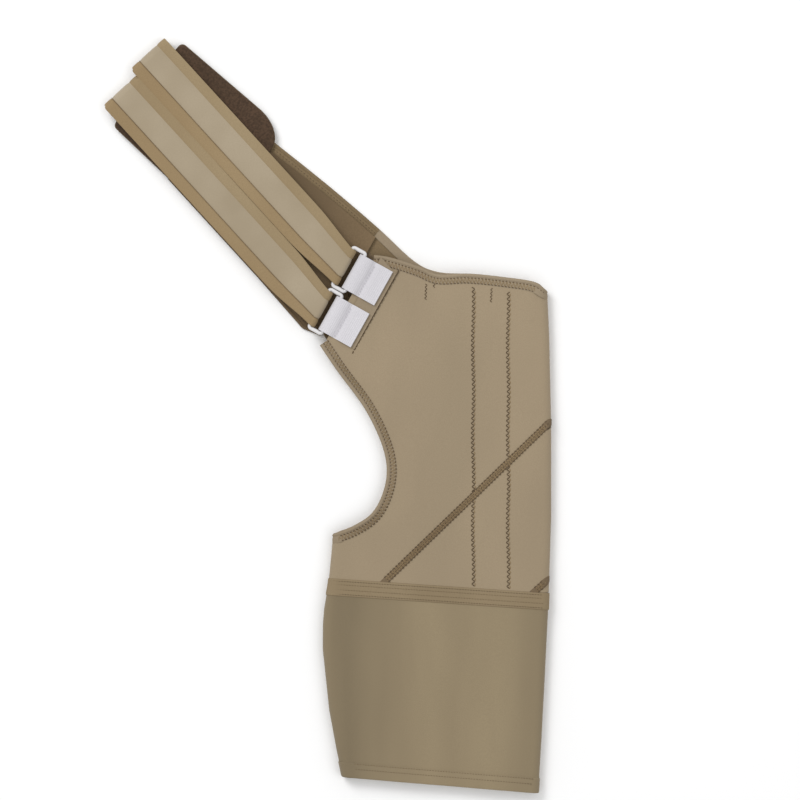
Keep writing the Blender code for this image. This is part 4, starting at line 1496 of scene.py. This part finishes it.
@dataclass
class StrapPlan:
    """The sizes that a strap's path takes from the layers that it passes."""

    length: float
    width: float = 0.0345
    at_ring: float = 0.0306
    trim: float = 0.0080
    thickness: float = 0.0022
    settle: float = 0.0600
    wing_run: float = 0.1550
    anchor: float = 0.0006
    backing: float = 0.0018
    field: float = 0.0008

    def __post_init__(self) -> None:
        """Counts the heights up from the table."""
        self.anchor_low = PLAN.wall + FIT
        self.hook_low = self.anchor_low + self.anchor + FIT
        self.field_low = self.hook_low + self.backing + FIT
        self.return_low = self.field_low + self.field + FIT
        self.top_low = self.return_low + self.thickness + FIT
        self.ring_z = joint_place("strap_lift")[2]
        self.along = heading(STRAP_HEADING)
        self.across = heading(STRAP_HEADING - 90)

    def start(self, bar: str) -> Array:
        """The plan point of a ring's outer bar, where its strap turns."""
        return PLAN.bars[bar][:2] + PLAN.ring_reach * PLAN.out_heading

    def point(self, bar: str, run: float, side: float) -> Array:
        """A plan point on a strap: its run from the outer bar, and its place across it."""
        return self.start(bar) + run * self.along + side * self.across

    def path(self) -> Array:
        """The middle of the strap's thickness, from its sewn end to its free end.

        It runs out on the table, turns up and comes back on top, and dives to the ring. It turns
        round the ring's outer bar, goes out again between the two and turns down to the hook end.

        Returns:
            The (run, height) of each station.
        """
        half = self.thickness / 2
        low, high = half, self.top_low + half
        middle, hook = self.return_low + half, self.hook_low + half
        turn = PLAN.rod + FIT + half
        outer = self.length - (self.top_low + self.thickness) / 2
        inner = outer - FIT

        def arc(run: float, z: float, radius: float, start: float, stop: float) -> Array:
            """A turn about a point, between two angles in degrees."""
            angle = np.radians(np.linspace(start, stop, 15))
            return np.column_stack([run + radius * np.cos(angle), z + radius * np.sin(angle)])

        def ramp(first: tuple[float, float], last: tuple[float, float]) -> Array:
            """A climb of 3t^2 - 2t^3 between two points.

            Args:
                first: the (run, height) that it leaves.
                last: the (run, height) that it reaches.

            Returns:
                The stations between them.
            """
            share = np.linspace(0, 1, 14)[1:-1]
            run = first[0] + share * (last[0] - first[0])
            climb = (3 * share**2 - 2 * share**3) * (last[1] - first[1])
            return np.column_stack([run, first[1] + climb])

        def level(start: float, stop: float, z: float, count: int) -> Array:
            """A straight run at one height."""
            return np.column_stack([np.linspace(start, stop, count), np.full(count, z)])

        parts = [
            level(self.wing_run + FIT, outer - 0.002, low, 16),
            arc(outer, (low + high) / 2, (high - low) / 2, -90, 90),
            level(outer - 0.003, self.settle, high, 44),
            ramp((self.settle, high), (0.0, self.ring_z + turn)),
            arc(0, self.ring_z, turn, 90, 270),
            ramp((0.0, self.ring_z - turn), (self.settle, middle)),
            level(self.settle, inner - 0.002, middle, 44),
            arc(inner, (middle + hook) / 2, (middle - hook) / 2, 90, -90),
            [(inner - half, hook)],
        ]
        return np.vstack(parts)


@dataclass
class Strap:
    """One chest strap: a satin centre between two tan trims, with a seam line on its left.

    The overlaps are how far the left trim reaches sideways near the ring and far from it.
    """

    bar: str
    plan: StrapPlan
    overlap: float
    far_overlap: float
    wave_start: float
    wave_height: float = 0.00045
    gap: float = 0.010
    line: float = 0.016
    section_points: int = 9

    def ribbon(self, near: float, far: float, crown: float, edge: float) -> Array:
        """A ribbon between two places across the strap, carried along its path.

        The section's top follows crown times 1 - t^2 across the ribbon, and its side direction
        turns from the ring's bar to square across the strap as it settles.

        Args:
            near: the ribbon's left side, as a share of the half width.
            far: its right side.
            crown: how much its middle stands up.
            edge: 1 if its left side reaches over its neighbour on the outermost run, else 0.

        Returns:
            The section's points along the path, shaped (stations, points, 3).
        """
        size, path = self.plan, self.plan.path()
        step = unit(np.gradient(path, axis=0))
        normal = np.stack([-step[:, 1], step[:, 0]], axis=1)
        share = np.clip(path[:, 0] / size.settle, 0, 1)[:, None]
        sideways = unit((1 - share) * PLAN.bar_heading + share * size.across)
        widened = smoothstep(path[:, :1], 0.0, 0.045)
        half = (size.at_ring + widened * (size.width - size.at_ring)) / 2
        forward = np.where(path[:, :1] > 0, size.along, PLAN.out_heading)
        on_top = smoothstep(path[:, 1], size.top_low - 0.0010, size.top_low + 0.0008)
        t = np.linspace(-1, 1, self.section_points)
        bevel = 0.0005 * np.abs(t) ** 6
        lift = size.thickness / 2 + crown * (1 - t**2) - bevel
        wave = self.wave_height * (on_top * smoothstep(path[:, 0], 0.004, 0.03))
        wave = wave * (1 + np.sin(path[:, 0] * 85 + self.wave_start))
        sides = np.concatenate([t, t[::-1]])
        lifts = np.concatenate([lift, -(size.thickness / 2 - bevel)])
        across = (near + far) / 2 + sides * (far - near) / 2
        reach = self.overlap * smoothstep(path[:, 0], 0.002, 0.035)
        reach = reach + (self.far_overlap - self.overlap) * smoothstep(path[:, 0], 0.100, 0.190)
        reach = edge * on_top * reach
        shift = reach[:, None] * (1 - sides) / 2
        place = across * half - shift
        raised = lifts + (wave[:, None] + 0.5 * reach[:, None] * (1 - sides) / 2) * (lifts > 0)
        run = path[:, :1] + raised * normal[:, :1]
        plan_points = self.plan.start(self.bar) + run[..., None] * forward[:, None]
        plan_points = plan_points + place[..., None] * sideways[:, None]
        return np.concatenate([plan_points, (path[:, 1:] + raised * normal[:, 1:])[..., None]], axis=-1)

    def build(self) -> None:
        inner = 1 - 2 * self.plan.trim / self.plan.width
        slack = -0.0001 / self.plan.width
        for suffix, near, far, crown, edge, finish, slot in (
            ("strap_left_binding", -1.0, -inner - self.gap, 0.00035, 1.0, TRIM, "strap_trim"),
            ("strap_right_binding", inner + slack, 1.0, 0.00030, 0.0, SOFT_TRIM, "strap_trim"),
            ("strap_line", -inner - self.line, self.line - inner, -0.00012, 0.0, LINE_THREAD, "strap_trim"),
            ("strap", -inner + self.gap, inner - slack, 0.00025, 0.0, SATIN, "strap_satin"),
        ):
            node = f"{self.bar}_{suffix}"
            grid = self.ribbon(near, far, crown, edge)
            surface = Surface()
            index = surface.grid(grid, wrap_columns=True)
            surface.faces += [index[0].tolist(), index[-1].tolist()]
            piece = surface.made(node + "_cloth", finish, 60.0)
            ride_all([piece], "strap_bundle")
            if suffix != "strap_line":
                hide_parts(node)


@dataclass
class Wing:
    """The back wing that carries both straps, with its two stitched edges."""

    peek: float = 0.0024
    tuck: float = 0.0001
    columns: int = 70
    rows: int = 60
    soften: float = 0.0280

    def build(self, size: StrapPlan) -> None:
        """Builds and dresses the wing, its edges, its hem stitch and the anchor patch.

        Args:
            size: the straps' sizes.
        """
        half = size.width / 2
        neck = cut_where(PLAN.back_neck, PLAN.out(PLAN.back_neck))[1]
        lower = np.array(
            [
                PLAN.bars["lower"][:2] - 0.0185 * PLAN.bar_heading,
                PLAN.bars["lower"][:2] - 0.0205 * PLAN.bar_heading + 0.0150 * PLAN.out_heading,
                size.point("lower", 0.0500, -half - self.peek),
                size.point("lower", size.wing_run, -half - self.peek),
            ]
        )
        top = moved_left(neck, PLAN.edge)
        low = moved_left(lower, -PLAN.edge)
        top[0] -= (PLAN.out(top[:1])[0] + self.tuck) * PLAN.out_heading
        low[0] -= (PLAN.out(low[:1])[0] + self.tuck) * PLAN.out_heading
        end = np.array(
            [
                low[-1],
                size.point("lower", size.wing_run, half),
                size.point("upper", size.wing_run, -half),
                size.point("upper", size.wing_run, half - PLAN.edge),
                top[-1],
            ]
        )
        grid = patch(low, end, top, np.array([low[0], top[0]]), self.columns, self.rows)
        swell = 0.0002
        wave = swell * np.sin(grid[..., 0] * 70 + grid[..., 1] * 40)
        face = np.dstack([grid, PLAN.wall + wave - swell])
        surface = Surface()
        surface.thick(face, PLAN.wall - 0.0005)
        wing = surface.made("back_wing_cloth", INNER_CLOTH)
        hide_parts("back_wing")
        made = [wing]
        for node, line, hand in (("wing_upper_binding", neck, 1), ("wing_lower_binding", lower, -1)):
            line = at_runs(line, np.linspace(0, run_of(line)[-1], 90))
            step = unit(np.gradient(line, axis=0))
            into = np.column_stack([-step[:, 1] * hand, step[:, 0] * hand, 0 * step[:, 0]])
            centre = np.column_stack([line, np.full(len(line), PLAN.wall / 2)])
            surface = Surface()
            surface.swept(turned_edge(), centre, into, np.tile([0.0, 0.0, 1.0], (len(line), 1)))
            # the upper edge wears the dark lining brown, a mid-tone that partly paints the shade falling
            # along it; the lower edge wears the inner cloth with its painted shade
            piece = surface.made(node + "_roll", INNER_CLOTH if hand < 0 else LINING_CLOTH)
            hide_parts(node)
            thread = Thread(
                node + "_stitch", Stitch.COVER, 0.0030, 0.0036, 0.00030, DARK_THREAD, LINE_THREAD
            )
            made += [piece, *thread.along(moved_left(line, 0.0064 * hand), flat_at(PLAN.wall + 0.0003))]
        for piece in made:
            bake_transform(piece)
        self.build_anchor(size)

    def build_anchor(self, size: StrapPlan) -> None:
        """Builds the patch that holds the straps' sewn ends to the wing.

        Args:
            size: the straps' sizes.
        """
        inset = size.width / 2 - size.trim
        run = size.wing_run + np.array([-0.0100, 0.0100])
        low = np.array([size.point("lower", r, -inset) for r in run])
        high = np.array([size.point("upper", r, inset) for r in run])
        sides = np.array([low[0], high[0]]), high, np.array([low[1], high[1]]), low
        grid = patch(*sides, 40, 14)
        face = np.dstack([grid, np.full(grid.shape[:2], size.anchor_low + size.anchor)])
        surface = Surface()
        surface.thick(face[:, ::-1], size.anchor)
        piece = surface.made("strap_anchor_cloth", TRIM)
        ride_all([piece], "strap_bundle")
        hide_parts("strap_anchor_patch")


@dataclass
class HookEnd:
    """The free end of a strap: a backed tab with a field of hooks, square behind, oval in front."""

    bar: str
    fan: float
    shift: float
    width: float = 0.0390
    length: float = 0.0950
    tail: float = 0.0130
    tip: float = 0.0280
    corner: float = 0.0040

    def face(self, margin: float, size: StrapPlan, height: float) -> Array:
        """The tab's top face: runs along it, and shares of its half width across it.

        The half width is square behind, less a quarter circle at each corner, and in front it
        falls as the square root of 1 less the square of the way through the tip.

        Args:
            margin: how far inside the outline it stays.
            size: the strap's sizes; not used.
            height: the height of its top.

        Returns:
            The face, shaped (rows, columns, 3).
        """
        start, stop = -self.tail + margin, self.length - margin
        share = 0.5 - 0.5 * np.cos(math.pi * np.linspace(0, 1, 72))
        run = start + share * (stop - start)
        half = self.width / 2 - margin
        into_tip = np.clip((run - (self.length - self.tip)) / (self.tip - margin), 0, 0.9995)
        from_tail = np.clip((self.corner - (run - start)) / self.corner, 0, 1)
        wide = half * np.sqrt(1 - into_tip**2) - self.corner * (1 - np.sqrt(1 - from_tail**2))
        across = np.linspace(-1, 1, 31)
        root = joint_place(f"{self.bar}_hook_swing")[:2]
        forward = heading(STRAP_HEADING + 180 + self.fan)
        side = np.array([-forward[1], forward[0]])
        aside = self.shift + wide[:, None] * across
        plan = root + run[:, None, None] * forward + aside[..., None] * side
        bevel = 0.0003 * np.abs(across) ** 8 + 0 * run[:, None]
        return np.dstack([plan, height - bevel])

    def build(self, size: StrapPlan) -> None:
        """Builds and dresses the backing and the hook field.

        Args:
            size: the strap's sizes.
        """
        for kind, margin, low, thick, finish, slot in (
            ("backing", 0.0, size.hook_low, size.backing, HOOK_BACK, "hook_backing_cloth"),
            ("field", 0.0006, size.field_low, size.field, HOOK_FIELD, "hook_field_cloth"),
        ):
            face = self.face(margin, size, low + thick)
            surface = Surface()
            surface.thick(face[:, ::-1], thick)
            node = f"{self.bar}_hook_{kind}"
            piece = surface.made(node + "_cloth", finish)
            ride_all([piece], f"{self.bar}_hook_end")
            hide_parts(node)


# ---------------------------------------------------------------- tabs, rings, patch and stay


@dataclass
class Tab:
    """A loop of ribbed white webbing round a ring's inner bar, sewn through the front panel."""

    bar: str
    width: float = 0.0300
    top_leg: float = 0.0254
    bottom_leg: float = 0.0200
    webbing: float = 0.0012
    rib_pitch: float = 0.0015
    rib_height: float = 0.00022
    groove_out: float = -0.0105

    def __post_init__(self) -> None:
        """Works out the loop's inner radius from the layers between its two legs."""
        low = PLAN.shell + FIT + PLAN.patch + FIT
        self.inner = (low - (PLAN.shell - PLAN.wall - FIT)) / 2

    def section(self) -> Array:
        """The loop's section as (out, height), outer line then inner line.

        The outer line is the leg, a half turn and the lower leg. Ribs add the rib height times
        the absolute sine of the run. The roll is a bell-shaped hump by the ring, a bell-shaped
        dip at the groove and a small rise behind it.

        Returns:
            The closed section.
        """
        angle = np.linspace(math.pi / 2, -math.pi / 2, 40)
        leg = np.linspace(-self.top_leg, 0, 130)[:-1]
        under = np.linspace(0, -self.bottom_leg, 30)[1:]

        def loop(radius: float) -> Array:
            """Both legs and the half turn between them.

            Args:
                radius: their distance from the bar.

            Returns:
                The line, from the upper leg's end to the lower leg's.
            """
            above = np.column_stack([leg, 0 * leg + radius])
            turn = np.column_stack([radius * np.cos(angle), radius * np.sin(angle)])
            below = np.column_stack([under, 0 * under - radius])
            return np.vstack([above, turn, below])

        line = loop(self.inner + self.webbing)
        normal = np.gradient(line, axis=0)
        normal = unit(np.column_stack([-normal[:, 1], normal[:, 0]]))
        ribs = self.rib_height * np.abs(np.sin(math.pi * run_of(line) / self.rib_pitch))
        out = line[:, 0]
        on_top = line[:, 1] > 0
        roll = 0.0011 * np.exp(-(((out + 0.0030) / 0.0045) ** 2))
        roll = roll - 0.0016 * np.exp(-(((out - self.groove_out) / 0.0024) ** 2))
        roll = roll + 0.0003 * smoothstep(-out, 0.0125, 0.0145)
        outer_line = line + (ribs + roll * on_top)[:, None] * normal
        inner_line = loop(self.inner)
        inner_line[:, 1] += np.where(on_top, np.minimum(roll, 0) * 0.4, 0)
        return np.vstack([outer_line, inner_line[::-1]])

    def build(self) -> None:
        section = self.section()
        along = np.linspace(-self.width / 2, self.width / 2, 9)
        bar = PLAN.bars[self.bar]
        plan = bar[:2] + along[:, None, None] * PLAN.bar_heading + section[None, :, :1] * PLAN.out_heading
        height = np.broadcast_to(bar[2] + section[:, 1], plan.shape[:2])
        surface = Surface()
        grid = np.dstack([plan, height])
        index = surface.grid(grid, wrap_columns=True)
        half = len(section) // 2
        for end in (index[0], index[-1]):
            surface.strip(end[:half], end[half:][::-1])
        node = f"{self.bar}_tab"
        piece = surface.made(node + "_webbing", WEBBING, 70.0)
        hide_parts(node)
        ends = np.array([[0.001 - self.width / 2], [self.width / 2 - 0.001]])
        line = bar[:2] + ends * PLAN.bar_heading + self.groove_out * PLAN.out_heading
        top = bar[2] + self.inner + self.webbing - 0.0007
        thread = Thread(node + "_seam", Stitch.LOCK, 0.0024, 0.0, 0.00025, WEBBING)
        ride_all([piece, *thread.along(line, flat_at(top))], "root")


@dataclass
class Ring:
    """A moulded ring: a rounded rectangle of round rod."""

    bar: str
    width: float = 0.0370

    def build(self) -> None:
        """Builds and dresses the ring: a circle carried round four straight sides and four bends."""
        bend = PLAN.rod + FIT
        side, far = self.width / 2 - PLAN.rod - bend, PLAN.ring_reach - bend
        quarter = np.radians(np.linspace(0, 90, 9))
        parts = []
        for i, (across, out) in enumerate(((side, far), (-side, far), (-side, bend), (side, bend))):
            turn = quarter + i * math.pi / 2
            parts.append(np.column_stack([across + bend * np.cos(turn), out + bend * np.sin(turn)]))
        local = np.vstack(parts)
        bar = PLAN.bars[self.bar]
        plan = bar[:2] + local[:, :1] * PLAN.bar_heading + local[:, 1:] * PLAN.out_heading
        centre = np.column_stack([plan, np.full(len(plan), bar[2])])
        step = unit(np.roll(centre, -1, axis=0) - np.roll(centre, 1, axis=0))
        up = np.tile([0.0, 0.0, 1.0], (len(centre), 1))
        angle = np.linspace(0, 2 * math.pi, 20, endpoint=False)
        circle = PLAN.rod * np.column_stack([np.cos(angle), np.sin(angle)])
        surface = Surface()
        surface.swept(circle, centre, np.cross(step, up), up, closed=True)
        piece = surface.made(f"{self.bar}_ring_moulding", PLASTIC, 80.0)
        ride_all([piece], f"{self.bar}_ring")
        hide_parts(f"{self.bar}_ring")


@dataclass
class Inserts:
    """The patch under the tabs, and the stay with the tape that holds it."""

    margin: float = 0.0055
    back_margin: float = 0.0030

    def build(self) -> None:
        """Builds the tab patch with its stitched back edge, whose dark line also paints the shadow under that
        edge, and dresses the stay and its tape.
        """
        tab = Tab("upper")
        high, low = PLAN.bars["upper"][:2], PLAN.bars["lower"][:2]
        out, back = -PLAN.setback - self.margin, -tab.top_leg - self.back_margin
        near, far = -tab.width / 2, tab.width / 2 + self.margin

        def place(bar: Array, along: float, outward: float) -> Array:
            """A plan point by a bar, this far along it and this far out."""
            return bar + along * PLAN.bar_heading + outward * PLAN.out_heading

        bottom = np.array([place(low, near, back), place(high, far - self.margin, back)])
        top = np.array([place(low, near, out), place(high, far, out)])
        right, left = np.array([bottom[1], top[1]]), np.array([bottom[0], top[0]])
        grid = patch(bottom, right, top, left, 60, 24)
        face = np.dstack([grid, PLAN.shell + FIT + PLAN.patch + 0 * grid[..., 0]])
        surface = Surface()
        surface.thick(face, PLAN.patch)
        piece = surface.made("tab_patch_cloth", EDGE_CLOTH)
        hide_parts("tab_patch")
        behind = back - 0.0004
        line = np.array([place(low, near - 0.004, behind), place(high, far - 0.001, behind)])
        # a close, narrow zigzag that reads as one dark line: the patch's edge stitching and painted shadow
        # under the edge
        thread = Thread("tab_patch_row", Stitch.ZIGZAG, 0.0030, 0.0005, 0.00052, DARK_THREAD)
        sewn = thread.along(line, flat_at(PLAN.shell + FIT))
        ride_all([piece, *sewn], "root")
        self.build_tape()

    def build_tape(self) -> None:
        """Builds the stay's tape from its CAD box, and dresses the stay itself."""
        low, high = (np.array(corner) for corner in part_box("stay_channel_tape"))
        count = 60
        centre = np.tile((low + high) / 2, (count, 1))
        centre[:, 1] = np.linspace(low[1], high[1], count)
        section = rounded_bar(high[0] - low[0], high[2] - low[2], 0.0002)
        surface = Surface()
        across, up = (np.tile(way, (count, 1)) for way in ([1.0, 0.0, 0.0], [0.0, 0.0, 1.0]))
        surface.swept(section, centre, across, up)
        piece = surface.made("stay_channel_tape_cloth", TRIM)
        ride_all([piece], "root")
        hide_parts("stay_channel_tape")
        stay = frame["nodes"]["stay_strip"]
        stay.data.materials.clear()
        stay.data.materials.append(PLASTIC.material())


# ---------------------------------------------------------------- the studio


@dataclass
class Studio:
    """A pale floor, soft lights and a camera that looks straight down."""

    view_width: float = 0.624
    centre: tuple[float, float] = (0.0566, 0.0109)
    distance: float = 3.0
    sensor: float = 36.0

    def build(self) -> None:
        """Builds the floor, the world, the lights and the camera."""
        mesh = bpy.data.meshes.new("floor")
        reach, level = 6.0, -0.0002
        corners = [(x * reach, y * reach, level) for x, y in ((-1, -1), (1, -1), (1, 1), (-1, 1))]
        mesh.from_pydata(corners, [], [(0, 1, 2, 3)])
        floor = bpy.data.objects.new("floor", mesh)
        bpy.context.scene.collection.objects.link(floor)
        finish = bpy.data.materials.new("floor")
        finish.use_nodes = True
        shader = finish.node_tree.nodes["Principled BSDF"]
        shader.inputs["Base Color"].default_value = (0.93, 0.93, 0.93, 1)
        shader.inputs["Roughness"].default_value = 0.95
        mesh.materials.append(finish)
        world = bpy.data.worlds.new("studio")
        world.use_nodes = True
        sky = world.node_tree.nodes["Background"]
        sky.inputs["Color"].default_value = (1, 1, 1, 1)
        sky.inputs["Strength"].default_value = 0.62
        bpy.context.scene.world = world
        for name, place, size, power in (
            ("key", (-1.3, 1.5, 2.2), 1.4, 46.0),
            ("fill", (1.6, -0.6, 2.4), 2.0, 18.0),
        ):
            light = bpy.data.lights.new(name, "AREA")
            light.size = size
            light.energy = power
            lamp = bpy.data.objects.new(name, light)
            lamp.location = place
            tilt = math.acos(place[2] / math.hypot(*place))
            lamp.rotation_euler = (tilt, 0, math.atan2(-place[1], -place[0]) - math.pi / 2)
            bpy.context.scene.collection.objects.link(lamp)
        lens = bpy.data.cameras.new("camera")
        lens.lens = self.sensor * self.distance / self.view_width
        lens.sensor_width = self.sensor
        lens.clip_end = 50.0
        camera = bpy.data.objects.new("camera", lens)
        camera.location = (*self.centre, self.distance + PLAN.shell)
        bpy.context.scene.collection.objects.link(camera)
        bpy.context.scene.camera = camera
        bpy.context.scene.view_settings.view_transform = "Standard"


def main() -> None:
    """Builds the studio, then each sub-assembly in order."""
    logging.basicConfig(level=logging.INFO, format="%(message)s")
    Studio().build()
    Sleeve().build()
    Cap().build()
    upper, lower = StrapPlan(length=0.2260), StrapPlan(length=0.2310)
    Wing().build(upper)
    Strap("upper", upper, overlap=0.0008, far_overlap=0.0016, wave_start=0.4).build()
    Strap("lower", lower, overlap=0.0014, far_overlap=0.0014, wave_start=2.1).build()
    HookEnd("upper", fan=7.0, shift=0.0075).build(upper)
    HookEnd("lower", fan=4.0, shift=-0.0029).build(lower)
    for bar in ("upper", "lower"):
        Tab(bar).build()
        Ring(bar).build()
    Inserts().build()


if __name__ == "__main__":
    main()
